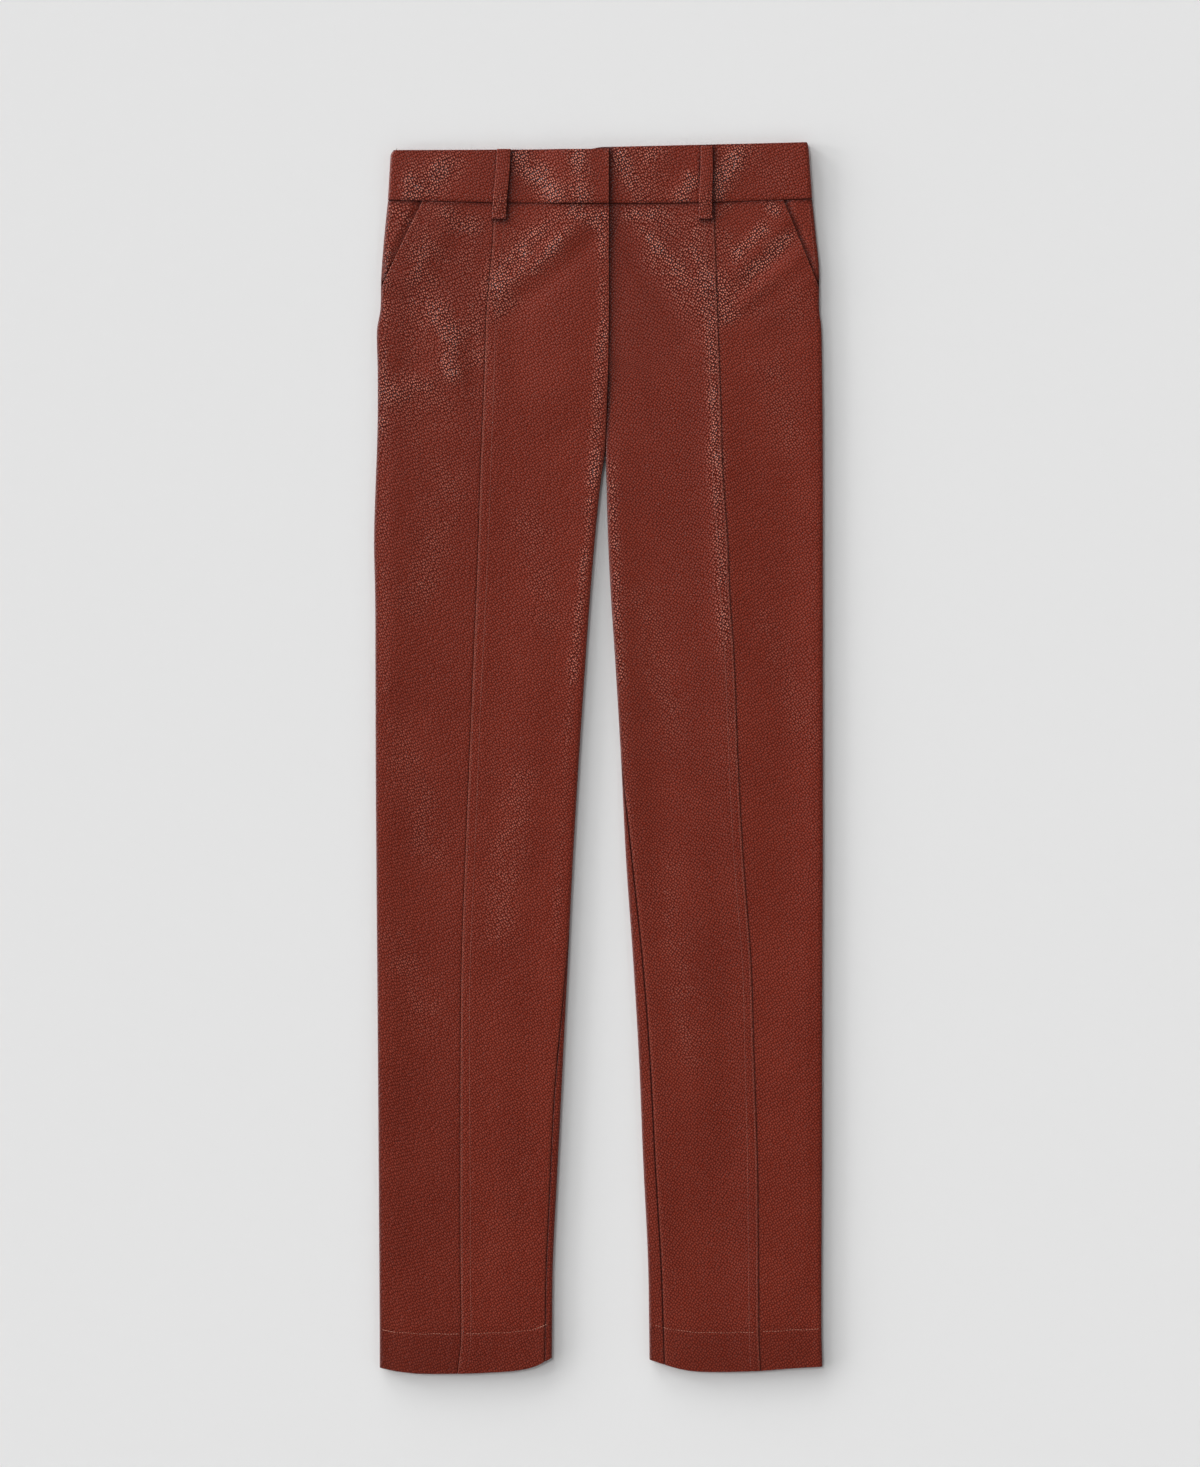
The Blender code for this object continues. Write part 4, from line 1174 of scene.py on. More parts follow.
def back(leg):
    """Back panel, all the way from the inseam to the side seam."""
    down = BACK_ROWS
    first = np.where(curl(down) < 1.0, 3.0 + 1e-6 + 0.05 * BESIDE_SEAM,
                     inseam_turn(leg, down, SEAM_GAP / 2.0 + BESIDE_SEAM))
    last = first[:, -1:]
    round_inner = last + (4.0 - last) * np.linspace(0.0, 1.0, ROLL_COLUMNS + 3)[None, 1:-1]
    under = np.repeat(np.linspace(4.0, 5.0, UNDER_COLUMNS)[None, :-1], len(down), axis=0)
    side_turns = np.linspace(5.0, 6.0 - HALF_GAP_TURN, ROLL_COLUMNS)[None, :]
    round_side = np.repeat(side_turns, len(down), axis=0)
    turn = np.concatenate([first, round_inner, under, round_side], axis=1)
    points, x, from_start, from_end = leg_points(leg, down, turn, no_lift, 0.0)
    # Painted shade along both seams and on the rims, with the centre front's tone.
    look = Look(
        shine=shine_at(BACK_STREAKS, x, down),
        fold=0.0,
        seam=bell(from_start, INSEAM_SHADE) + bell(from_end, SEAM_SHADE) + rim_shade(leg, turn)
        + tone("centre_front_" + leg.name, down),
    )
    make_sheet("back_" + leg.name, "leather_back", points, look, leg.inward < 0,
               BACK_GRAIN * leg.inward, anchor=points.shape[1] // 2, thickness=hem_wall(down, turn))


for leg in LEGS.values():
    back(leg)

# %% Pocket facings
FACING_CLOTH = 1.0
FACING_EDGE = 0.2
FACING_BOTTOM = 122.0
FACING_ROWS = np.linspace(WAIST_SEAM, FACING_BOTTOM, 36)[:, None]
FACING_COLUMNS = 34
FACING_TUCK_FADE = (WAIST_SEAM + 22.0, WAIST_SEAM + 54.0)


def pocket_facing(leg):
    """What shows in the slant mouth: from the side seam to beneath the side front."""
    down = FACING_ROWS
    mouth = leg.pocket_across(down)
    tuck = POCKET_TUCK * fade(*FACING_TUCK_FADE, down)
    end = mouth + tuck - SEAM_GAP * 1.5
    roll = turn_at(leg, down, end)
    part = np.linspace(0.0, 1.0, FACING_COLUMNS)
    turn = HALF_GAP_TURN + (roll - HALF_GAP_TURN) * part
    by_width = turn_at(leg, down, end * part)
    blend = smooth(ROLL_WIDTH, ROLL_WIDTH * 3.0, end)
    turn = turn * (1.0 - blend) + np.maximum(by_width, HALF_GAP_TURN) * blend
    points, x, _, _ = leg_points(leg, down, turn, pocket_dip, 0.0)
    across = leg.inward * (x - leg.at("side", down))
    # Painted shade under the slant mouth, along the side seam, on the rims and below the band.
    look = Look(
        shine=shine_at(FRONT_STREAKS, x, down),
        fold=0.0,
        seam=bell(across - mouth + 0.6, 2.2) * 0.8 + bell(across, SEAM_SHADE) * 0.6
        + rim_shade(leg, turn) + waist_shade(down),
    )
    make_sheet("pocket_facing_" + leg.name, "leather_facing", points, look, leg.inward < 0,
               SIDE_GRAIN * leg.inward, thickest=FACING_CLOTH, edge_round=FACING_EDGE)


for leg in LEGS.values():
    pocket_facing(leg)

# %% [markdown]
# ## The waistband
#
# The band is one long folded strip for each half, with its fold along the top. It runs from the
# centre front round the side to the centre back, and the wearer's right one laps over the left
# one's end. It is thicker than the panels, so its wall is thicker and its edges rounder.

# %% Waistband
BAND_CLOTH = 2.0
BAND_EDGE = 0.5
BAND_GRAIN = -24.0
BAND_HEIGHT = 6.0
BAND_SIDE_SWELL = 0.6
BAND_SIDE_SPREAD = 24.0
BAND_LAP_RISE = BAND_CLOTH + SEAM_GAP
BAND_LAP_RAMP = 29.0
BAND_UNDERLAP = 36.0
BAND_ROLL_WIDTH = 4.2
BAND_ROLL_MIDDLE = 3.3
CENTRE = LEG_ROWS["right"][0].inner
BAND_WIDTH = 47.0
BAND_PARTS = np.concatenate([[0.0, 0.017], np.linspace(0.04, 0.965, 26), [0.983, 1.0]])[:, None]
BAND_FRONT_STEPS = np.concatenate([[0.0, 0.003], np.linspace(0.008, 1.0, 110)])
BAND_ROLL_TURNS = np.linspace(1.0, -1.0, 16)[1:-1]
BAND_BACK_STEPS = np.concatenate([np.linspace(0.0, 0.994, 84), [0.997, 1.0]])
BAND_FRONT = slice(0, len(BAND_FRONT_STEPS))
BAND_ROLL = slice(BAND_FRONT.stop, BAND_FRONT.stop + len(BAND_ROLL_TURNS))
BAND_SEAM_DIP = 0.3
FAR = 99.0
UNDERLAP_DIP = 3.2
BAND_CORNER = {"right": 2.0, "left": 0.8}
BAND_CREASES = rows_of(Fold, [
    (-182, 48, -132, 14, 12, 0.3),
    (-150, 46, -116, 16, 9, -0.22),
    (-78, 8, -34, 48, 8, 0.3),
    (-56, 6, -24, 34, 8, -0.2),
    (-11, 8, -9, 50, 9, 0.25),
    (16, 8, 38, 50, 8, 0.25),
    (58, 6, 42, 34, 8, 0.22),
    (68, 50, 88, 24, 8, 0.25),
    (102, 50, 128, 6, 9, 0.3),
    (126, 44, 166, 14, 10, -0.2),
])


def band_height(leg, across, width):
    """Height of the front band's outer face; the right band laps over the left one."""
    height = BAND_HEIGHT + BAND_SIDE_SWELL * bell(across, BAND_SIDE_SPREAD)
    if leg.name == "right":
        ramp = smooth(BAND_UNDERLAP + 1.0, BAND_UNDERLAP + 1.0 + BAND_LAP_RAMP, width - across)
        height = height + BAND_LAP_RISE * (1.0 - ramp)
    return height


def band_down(leg, part, across):
    """The band's edges run straight from the side to the centre, a little bowed."""
    band = BANDS[leg.name]
    to_side = np.maximum(1.0 - across / abs(CENTRE - band.seam_side), 0.0)
    top = band.top_at_centre + (band.top_at_side - band.top_at_centre) * to_side
    seam = band.seam_at_centre + (band.seam_at_side - band.seam_at_centre) * to_side ** 2
    if leg.name == "left":
        past_fly = across - abs(CENTRE - band.seam_side)
        top = top + UNDERLAP_DIP * smooth(0.0, 22.0, past_fly)
    return top + (seam - top) * part


def band_section(leg, side):
    """The band's front, roll and back: distances across, heights, and the front's width."""
    front_end = CENTRE if leg.name == "right" else CENTRE - BAND_UNDERLAP
    front_width = np.abs(front_end - side)
    back_width = np.abs(CENTRE - side) - SEAM_GAP / 2.0
    front = front_width + (BAND_ROLL_WIDTH - front_width) * BAND_FRONT_STEPS
    roll = BAND_ROLL_WIDTH * (1.0 - np.cos(BAND_ROLL_TURNS * QUARTER)) + 0.0 * side
    back = BAND_ROLL_WIDTH + (back_width - BAND_ROLL_WIDTH) * BAND_BACK_STEPS

    roll_top = band_height(leg, roll, front_width)
    above = BAND_ROLL_MIDDLE + (roll_top - BAND_ROLL_MIDDLE) * rise(BAND_ROLL_TURNS)
    below = BAND_ROLL_MIDDLE * (1.0 + np.sin(BAND_ROLL_TURNS * QUARTER))
    height = np.concatenate([
        band_height(leg, front, front_width),
        np.where(BAND_ROLL_TURNS >= 0.0, above, below),
        back_lift(side + leg.inward * back, WAIST_SEAM),
    ], axis=1)
    return np.concatenate([front, roll, back], axis=1), height, front_width


def waistband(leg):
    """One half of the folded band: its front, round the side, and its back."""
    band = BANDS[leg.name]
    part = BAND_PARTS
    side = band.top_side + (band.seam_side - band.top_side) * part
    side = side + leg.inward * BAND_CORNER[leg.name] * bell(part * BAND_WIDTH, 2.6)
    across, height, front_width = band_section(leg, side)
    down = band_down(leg, part, across)
    x = side + leg.inward * across
    over_seam = (1.0 - part) * BAND_WIDTH
    on_front, rim = np.zeros(across.shape), np.zeros(across.shape)
    on_front[:, BAND_FRONT] = smooth(BAND_ROLL_WIDTH, 20.0, across[:, BAND_FRONT])
    rim[:, BAND_ROLL] = rim_shade(leg, BAND_ROLL_TURNS)
    from_end = np.full(across.shape, FAR)
    from_end[:, BAND_FRONT] = front_width - across[:, BAND_FRONT]
    height = height + fold_height(BAND_CREASES, x, down) * on_front
    height = height - BAND_SEAM_DIP * bell(over_seam, 1.6) * on_front
    # Paler front end: wear and a painted highlight. Painted shade along the seam, the top edge, beside the
    # loop and the fly, and on the right band's roll.
    look = Look(
        shine=shine_at(BAND_STREAKS, x, down) * on_front,
        fold=bell(from_end, FOLD_SHADE),
        seam=bell(over_seam, SEAM_SHADE) * 0.9 + bell(part * BAND_WIDTH, 1.2) * 0.5
        + loop_shade(leg, x, down) * on_front + rim
        + fly_shade(x, down) * on_front * (leg.name == "left"),
    )
    make_sheet("waistband_" + leg.name, "leather_band", to_world(x, down, height), look,
               leg.inward > 0, BAND_GRAIN * leg.inward, thickest=BAND_CLOTH, edge_round=BAND_EDGE)


for leg in LEGS.values():
    waistband(leg)

# %% [markdown]
# ## Belt loops
#
# A loop is a narrow strip, folded to three layers and sewn down at both ends. It arches a
# little over the band. The ones on the back lie flat on the table beneath the garment, so they
# are only as high as their own thickness.

# %% Belt loops
LOOP_CLOTH = 1.4
LOOP_EDGE = 0.38
LOOP_GRAIN = 15.0
LOOP_ARCH = 0.8
LOOP_LENGTH = 60.0
LOOP_CROWN = 0.16
LOOP_WAVER = 0.35
SEWN_DIP = 0.35
SEWN_AT = 0.93
LOOP_WIDTH = 12.0
LOOP_STEPS = np.array([-1.0, -0.92, -0.8, -0.6, -0.3, 0.0, 0.3, 0.6, 0.8, 0.92, 1.0])
BACK_LOOP_TOP = 8.0


def front_surface(leg, x, down):
    """Height of what lies under a front belt loop: the band, then the panels."""
    band = BANDS[leg.name]
    side = leg.at("side", np.maximum(down, WAIST_SEAM))
    across = np.abs(x - side)
    on_band = band_height(leg, across, abs(CENTRE - band.seam_side))
    seam = leg.seam_across(down)
    on_panel = front_height(leg, across, down) + seam_lift(leg, np.maximum(across, seam), down)
    return on_band + (on_panel - on_band) * smooth(WAIST_SEAM - 1.0, WAIST_SEAM + 6.0, down)


def make_loop(place, x, down, height, part, flip):
    """A loop's sheet: shiny in its lower half, with edges painted paler for wear and a highlight, painted
    shade where it is sewn, and a little darker all over.
    """
    from_edge = (1.0 - np.abs(LOOP_STEPS)) * LOOP_WIDTH / 2.0
    look = Look(
        shine=smooth(0.35, 0.75, part) * 0.5,
        fold=bell(from_edge, FOLD_SHADE) * 0.4,
        seam=bell((1.0 - part) * LOOP_LENGTH, 1.2) + 0.1,
    )
    make_sheet("belt_loop_" + place, "leather_loop", to_world(x, down, height), look,
               flip, LOOP_GRAIN, thickest=LOOP_CLOTH, edge_round=LOOP_EDGE)


def front_loop(leg):
    """A loop on the front arches over the band and is sewn down on the panels."""
    loop = FRONT_LOOPS[leg.name]
    down = rows_between(loop.top_down, LOOP_BOTTOM, 2.0, 44)
    part = (down - loop.top_down) / (LOOP_BOTTOM - loop.top_down)
    middle = loop.top_x + (loop.bottom_x - loop.top_x) * part + LOOP_WAVER * np.sin(part * 6.0)
    half = (loop.top_width + (loop.bottom_width - loop.top_width) * part) / 2.0
    x = middle + half * LOOP_STEPS
    arch = LOOP_ARCH * np.sin(math.pi * part) ** 2
    crown = LOOP_CROWN * (1.0 - LOOP_STEPS ** 2)
    pressed = -SEWN_DIP * bell((part - SEWN_AT) * LOOP_LENGTH, 2.0)
    height = front_surface(leg, x, down) + SEAM_GAP + arch + LOOP_CLOTH + crown + pressed
    make_loop("front_" + leg.name, x, down, height, part, flip=False)


def back_loop(place, middle):
    """A loop on the back lies on the table, under the band and the seat."""
    down = rows_between(BACK_LOOP_TOP, LOOP_BOTTOM, 2.0, 24)
    part = (down - BACK_LOOP_TOP) / (LOOP_BOTTOM - BACK_LOOP_TOP)
    x = middle + LOOP_WIDTH / 2.0 * LOOP_STEPS
    make_loop(place, x, down, 0.0, part, flip=True)


for leg in LEGS.values():
    front_loop(leg)
for place, middle in BACK_LOOPS.items():
    back_loop(place, middle)

# %% [markdown]
# ## Stitches
#
# A stitch is a short bump of thread, round on top and half sunk in the leather. One is modelled
# from a sphere, and copies of its mesh are set end to end along each row, turned to the row's
# direction. Joined into one mesh for each leg they stay easy to handle, and a few dozen faces
# each are enough for something a fifth of a millimetre high.

# %% One stitch
STITCH_LENGTH = 2.1
THREAD_WIDTH = 0.5
THREAD_HEIGHT = 0.4
THREAD_UNEVEN = 0.06

bpy.ops.object.select_all(action="DESELECT")
bpy.ops.mesh.primitive_uv_sphere_add(segments=6, ring_count=5, radius=0.5 * MM, rotation=(0, QUARTER, 0))
stitch = bpy.context.object
bpy.ops.object.transform_apply(location=False, rotation=True, scale=False)
stitch.scale = (STITCH_LENGTH, THREAD_WIDTH, THREAD_HEIGHT)
bpy.ops.object.transform_apply(location=False, rotation=False, scale=True)
stitch.data.shade_smooth()
print("faces in a stitch:", len(stitch.data.polygons))


# %% Sewing a row
def points_along(row, spots, lengths):
    """The points of a row at these distances along it."""
    return np.stack([np.interp(spots, lengths, row[:, axis]) for axis in range(3)], axis=1)


def stitch_row(row):
    """Copies of the stitch, end to end along a row of points, and each turned along it."""
    lengths = np.concatenate([[0.0], np.cumsum(np.linalg.norm(np.diff(row, axis=0), axis=1))])
    spots = np.arange(STITCH_PITCH, lengths[-1] - STITCH_PITCH, STITCH_PITCH)
    sunk = THREAD_UNEVEN * np.sin(spots * 0.9) * np.sin(spots * 0.23 + 1.0)
    copies = []
    for place, toward, depth in zip(points_along(row, spots, lengths),
                                    points_along(row, spots + 1.0, lengths), sunk):
        along = Vector(toward - place).normalized()
        side = Vector((0.0, 0.0, 1.0)).cross(along).normalized()
        up = along.cross(side)
        copy = stitch.copy()
        copy.data = stitch.data.copy()
        turned = Matrix((along, side, up)).transposed().to_4x4()
        copy.matrix_world = Matrix.Translation((Vector(place) + up * depth) * MM) @ turned
        bpy.context.scene.collection.objects.link(copy)
        copies.append(copy)
    return copies


def sew(name, rows):
    """Sews several rows and joins their stitches into one mesh."""
    copies = [copy for row in rows for copy in stitch_row(row)]
    bpy.ops.object.select_all(action="DESELECT")
    for copy in copies:
        copy.select_set(True)
    bpy.context.view_layer.objects.active = copies[0]
    bpy.ops.object.join()
    bpy.ops.object.transform_apply(location=True, rotation=True, scale=True)
    thread = bpy.context.object
    thread.name = thread.data.name = name
    print(name, "stitches:", len(copies))
    return thread


# %% Where the rows run
# The hem's row runs over these turns of the tube, and stops short on both sides of the seam.
HEM_FRONT_TURNS = (0.55, 2.3)
HEM_SEAM_GAPS = (0.01, 0.02)
HEM_BACK_TURNS = (3.9, 5.1)
HEM_WAVER = 0.25
HEM_OVER_FRONT = 0.06
HEM_OVER_BACK = 0.26
SEAM_ROW = np.arange(WAIST_SEAM + 3.0, HEM - 1.0, 1.0)
FACING_ROW = np.arange(WAIST_SEAM + 3.0, POCKET_BOTTOM - 14.0, 1.0)
FACING_STITCH = 3.4


def front_row(leg, from_seam, height_over):
    """A row down the front seam, on the centre panel."""
    down = SEAM_ROW
    across = leg.seam_across(down) + from_seam
    height = front_height(leg, across, down) + seam_lift(leg, across, down)
    height = height + centre_relief(leg, across, down) + height_over
    return on_leg(leg, across, down, height)


def hem_row(leg, low, high, lift):
    """A row round the hem, over a stretch of turns of the tube."""
    turn = np.linspace(low, high, 400)
    down = HEM - HEM_STITCH + HEM_WAVER * np.sin(turn * 37.0)
    across, height = around(leg, down, turn, lift)
    off_rolls = smooth(0.0, EDGE_FADE, np.minimum(across, leg.width(down) - across))
    over_front = hem_relief(down) * off_rolls + HEM_OVER_FRONT
    height = height + np.where(turn > 3.5, HEM_OVER_BACK, over_front)
    return on_leg(leg, across, down, height)


def facing_row(leg):
    """A row beside the side seam, on the pocket facing."""
    down = FACING_ROW
    across, height = around(leg, down, turn_at(leg, down, np.full_like(down, FACING_STITCH)))
    return on_leg(leg, across, down, height + 0.02)


def sew_seams(leg):
    """The front seam's two rows, and the facing's row."""
    edge = front_row(leg, EDGE_STITCH, -0.02)
    lap = front_row(leg, lap_row(SEAM_ROW), 0.0)
    return sew("seam_stitches_" + leg.name, [edge, lap, facing_row(leg)])


def sew_hem(leg):
    """The hem's row goes round the leg, but for its rolls."""
    level = HEM - HEM_STITCH
    seam_turn = float(turn_at(leg, level, leg.seam_across(level)))
    return sew("hem_stitches_" + leg.name, [
        hem_row(leg, HEM_FRONT_TURNS[0], seam_turn - HEM_SEAM_GAPS[0], no_lift),
        hem_row(leg, seam_turn + HEM_SEAM_GAPS[1], HEM_FRONT_TURNS[1], seam_lift),
        hem_row(leg, *HEM_BACK_TURNS, no_lift),
    ])


SEAM_STITCHES = {half: sew_seams(leg) for half, leg in LEGS.items()}
HEM_STITCHES = {half: sew_hem(leg) for half, leg in LEGS.items()}
bpy.data.objects.remove(stitch, do_unlink=True)

# %% [markdown]
# ## The grain
#
# The surface of faux leather is pressed with a roller: small pebbles, about two millimetres
# across, with fine grooves between them, stretched a little in one direction. A Voronoi pattern
# gives the same cells. It reads the cloth's own coordinates, so the pebbles stay the same size
# on the flat and round the rolls. The pattern is a node group, because every leather part here
# uses it, each with its own values.


# %% Helpers for nodes
NODE_SPACING = 170


def feed(tree, node, inputs):
    """Sets a node's inputs. Each gets a plain value, or a link from another node's output."""
    for name, value in inputs.items():
        if isinstance(value, bpy.types.NodeSocket):
            tree.links.new(value, node.inputs[name])
        else:
            node.inputs[name].default_value = value


def add(tree, kind, inputs=None, **settings):
    """Adds a node, with its settings and its inputs."""
    node = tree.nodes.new(kind)
    node.location = (len(tree.nodes) * NODE_SPACING, 0)
    for name, value in settings.items():
        setattr(node, name, value)
    feed(tree, node, inputs or {})
    return node


def times(tree, value, factor, plus=0.0):
    """A value times a factor, plus something."""
    return add(tree, "ShaderNodeMath", {0: value, 1: factor, 2: plus}, operation="MULTIPLY_ADD").outputs[0]


def ramp(tree, value, low, high, to_low=0.0, to_high=1.0):
    """A smooth step of a value, between two of its own values, to a new range."""
    inputs = {"Value": value, "From Min": low, "From Max": high, "To Min": to_low, "To Max": to_high}
    return add(tree, "ShaderNodeMapRange", inputs, interpolation_type="SMOOTHSTEP").outputs["Result"]


def noise(tree, place, scale, detail, roughness=0.5):
    """A soft cloudy pattern."""
    inputs = {"Vector": place, "Scale": scale, "Detail": detail, "Roughness": roughness}
    return add(tree, "ShaderNodeTexNoise", inputs)


def vector_maths(tree, operation, *values):
    """A Vector Math node's result."""
    return add(tree, "ShaderNodeVectorMath", dict(enumerate(values)), operation=operation).outputs[0]


def mix_color(tree, factor, first, second):
    """The second colour over the first one."""
    inputs = {0: factor, 6: first, 7: second}
    return add(tree, "ShaderNodeMix", inputs, data_type="RGBA").outputs[2]


def new_material(name):
    """A material with its node tree and its shader."""
    material = bpy.data.materials.new(name)
    material.use_nodes = True
    return material, material.node_tree, material.node_tree.nodes["Principled BSDF"]


def new_group(name, inputs, outputs):
    """A node group with named float or vector inputs, and its two end nodes."""
    group = bpy.data.node_groups.new(name, "ShaderNodeTree")
    for socket, value in inputs.items():
        kind = "NodeSocketVector" if value is None else "NodeSocketFloat"
        made = group.interface.new_socket(socket, in_out="INPUT", socket_type=kind)
        if value is not None:
            made.default_value = value
    for socket in outputs:
        group.interface.new_socket(socket, in_out="OUTPUT", socket_type="NodeSocketFloat")
    return group, group.nodes.new("NodeGroupInput"), group.nodes.new("NodeGroupOutput")


# %% The pebble grain group
HALF = (0.5, 0.5, 0.5)
PEBBLE_BEND = (0.0009, 0.0009, 0.0)
PEBBLE_RANDOMNESS = 0.62


def make_pebble_grain():
    """Pebbles, the grooves between them, their tops, and a number of its own for each pebble."""
    group, start, end = new_group("Pebble grain", {"Cloth": None, "Size": 0.002, "Stretch": 1.3},
                                  ("Height", "Groove", "Top", "Pebble"))
    cloth = start.outputs["Cloth"]
    centred = vector_maths(group, "SUBTRACT", noise(group, cloth, 260.0, 2.0).outputs["Color"], HALF)
    bent = vector_maths(group, "MULTIPLY_ADD", centred, PEBBLE_BEND, cloth)
    tall = times(group, start.outputs["Size"], start.outputs["Stretch"])
    cell = add(group, "ShaderNodeCombineXYZ", {"X": start.outputs["Size"], "Y": tall, "Z": 1.0})
    place = vector_maths(group, "DIVIDE", bent, cell.outputs[0])
    pattern = {"Vector": place, "Scale": 1.0, "Randomness": PEBBLE_RANDOMNESS}
    edge = add(group, "ShaderNodeTexVoronoi", pattern,
               feature="DISTANCE_TO_EDGE", voronoi_dimensions="2D").outputs["Distance"]
    cells = add(group, "ShaderNodeTexVoronoi", pattern, feature="F1", voronoi_dimensions="2D")
    number = add(group, "ShaderNodeSeparateColor", {"Color": cells.outputs["Color"]}).outputs[0]
    fine = noise(group, cloth, 1900.0, 2.0)
    groove = ramp(group, edge, 0.0, 0.3, 1.0, 0.0)
    from_middle = cells.outputs["Distance"]
    dome = times(group, times(group, from_middle, from_middle), -1.7, 1.0)
    taller = times(group, number, 0.4, 0.8)
    height = times(group, dome, taller, times(group, groove, -0.12))
    rough = times(group, fine.outputs["Fac"], 0.12, height)
    paler = times(group, number, 0.8, 0.6)
    # Top is where the material paints its glints, paler on some pebbles than others.
    top = times(group, ramp(group, from_middle, 0.05, 0.38, 1.0, 0.0), paler)
    feed(group, end, {"Height": rough, "Groove": groove, "Top": top, "Pebble": number})
    return group


PEBBLE_GRAIN = make_pebble_grain()
print(PEBBLE_GRAIN.name, "nodes:", len(PEBBLE_GRAIN.nodes))


# %% The wear group
def make_wear_and_sheen():
    """Breaks the even streaks of shine into patches, and mottles the colour."""
    group, start, end = new_group("Patchy wear and sheen", {"Cloth": None, "Shine": 0.0},
                                  ("Shine", "Mottle", "Crumple"))
    cloth = start.outputs["Cloth"]
    broad = noise(group, cloth, 55.0, 3.0)
    small = noise(group, cloth, 260.0, 2.0)
    both = times(group, small.outputs["Fac"], 0.3, broad.outputs["Fac"])
    strength = times(group, start.outputs["Shine"], ramp(group, both, 0.4, 0.85, 0.5, 1.25))
    large = noise(group, cloth, 14.0, 4.0, roughness=0.6)
    soft = noise(group, cloth, 120.0, 3.0, roughness=0.55)
    feed(group, end, {
        "Shine": ramp(group, strength, 0.04, 1.0),
        "Mottle": ramp(group, large.outputs["Fac"], 0.35, 0.65),
        "Crumple": soft.outputs["Fac"],
    })
    return group


PATCHY_WEAR_AND_SHEEN = make_wear_and_sheen()
print(PATCHY_WEAR_AND_SHEEN.name, "nodes:", len(PATCHY_WEAR_AND_SHEEN.nodes))

# %% [markdown]
# ## The leather and the thread
#
# The dye is a deep rust brown. The grooves and the seams are painted darker where shade
# falls, with the panels' tones and the other painted shade, and folded edges are painted
# paler, for rubbed wear and a painted highlight. Where a streak of shine is, the pebbles stand
# higher and the surface is smoother, so they catch the light one by one. That is what makes
# leather glitter. Their tops are also painted paler there, as glints.

# %% Leather
RUST = (0.220, 0.0295, 0.0155, 1.0)
RUST_DARK = (0.200, 0.0253, 0.0132, 1.0)
# Painted glints: the pebble tops are painted paler where the leather shines.
PAINTED_TOP_GLINT = (0.800, 0.2700, 0.1900, 1.0)
# Folded edges painted paler, for rubbed wear and a painted highlight.
FOLD_WEAR_AND_HIGHLIGHT = (0.330, 0.0950, 0.0600, 1.0)
# The panels' tones and all the painted shade: seams, fly, loops, band, crease and rims.
TONE_AND_PAINTED_SHADE = (0.050, 0.0070, 0.0045, 1.0)
# Painted shade in the grooves between the pebbles, deeper where the leather shines.
PAINTED_GROOVE_SHADE = (0.034, 0.0025, 0.0012, 1.0)
SPECULAR = 0.18
SHINY_ROUGHNESS = 0.19
PEBBLE_ROUGHNESS = 0.06
GROOVE_SHADE_SHARE = (0.66, 0.40)
SKIN_SHARE = (0.0, 0.14)
TOP_GLINT_SHARE = (0.10, 0.95)
STANDING = (0.75, 1.2)
FOLD_SHARE = 0.25
TONE_AND_SHADE_SHARE = 0.85
CRUMPLE = 0.2
SEEN_FLAT = (0.42, 0.76)
FLAT_ROUGHNESS = 0.50


def leather(name, pebble_size, relief, dull):
    """One leather. relief is the pebbles' height in metres, dull its roughness off the streaks."""
    material, tree, shader = new_material(name)
    cloth = add(tree, "ShaderNodeUVMap", uv_map="cloth").outputs["UV"]
    marks = {mark: add(tree, "ShaderNodeAttribute", attribute_name=mark).outputs["Fac"]
             for mark in Look._fields}
    wear = add(tree, "ShaderNodeGroup", {"Cloth": cloth, "Shine": marks["shine"]},
               node_tree=PATCHY_WEAR_AND_SHEEN).outputs
    grain = add(tree, "ShaderNodeGroup", {"Cloth": cloth, "Size": pebble_size},
                node_tree=PEBBLE_GRAIN).outputs

    def with_shine(plain, more):
        """A value that grows with the shine."""
        return times(tree, wear["Shine"], more, plain)

    color = mix_color(tree, wear["Mottle"], RUST, RUST_DARK)
    # Painted shade in the grooves, and a little over the whole streak of shine.
    in_groove = times(tree, grain["Groove"], with_shine(*GROOVE_SHADE_SHARE), with_shine(*SKIN_SHARE))
    color = mix_color(tree, in_groove, color, PAINTED_GROOVE_SHADE)
    # Painted glints on the pebble tops, stronger on the streaks of shine.
    color = mix_color(tree, times(tree, grain["Top"], with_shine(*TOP_GLINT_SHARE)), color, PAINTED_TOP_GLINT)
    # Paler folded edges: rubbed wear and a painted highlight.
    color = mix_color(tree, times(tree, marks["fold"], FOLD_SHARE), color, FOLD_WEAR_AND_HIGHLIGHT)
    # The panels' tones and the painted shade.
    color = mix_color(tree, times(tree, marks["seam"], TONE_AND_SHADE_SHARE), color, TONE_AND_PAINTED_SHADE)

    # Seen flat along the cloth, the pebbles hide the smooth skin between them.
    along = add(tree, "ShaderNodeLayerWeight", {"Blend": 0.5}).outputs["Facing"]
    smoother = ramp(tree, wear["Shine"], 0.0, 1.0, dull, SHINY_ROUGHNESS)
    uneven = times(tree, grain["Pebble"], PEBBLE_ROUGHNESS, smoother)
    roughness = times(tree, ramp(tree, along, *SEEN_FLAT), FLAT_ROUGHNESS, uneven)

    pebbles = times(tree, grain["Height"], with_shine(*STANDING))
    surface = times(tree, wear["Crumple"], CRUMPLE, pebbles)
    bump = add(tree, "ShaderNodeBump", {"Strength": 1.0, "Distance": relief, "Height": surface})
    feed(tree, shader, {"Base Color": color, "Roughness": roughness,
                        "Normal": bump.outputs["Normal"], "Specular IOR Level": SPECULAR})
    return material


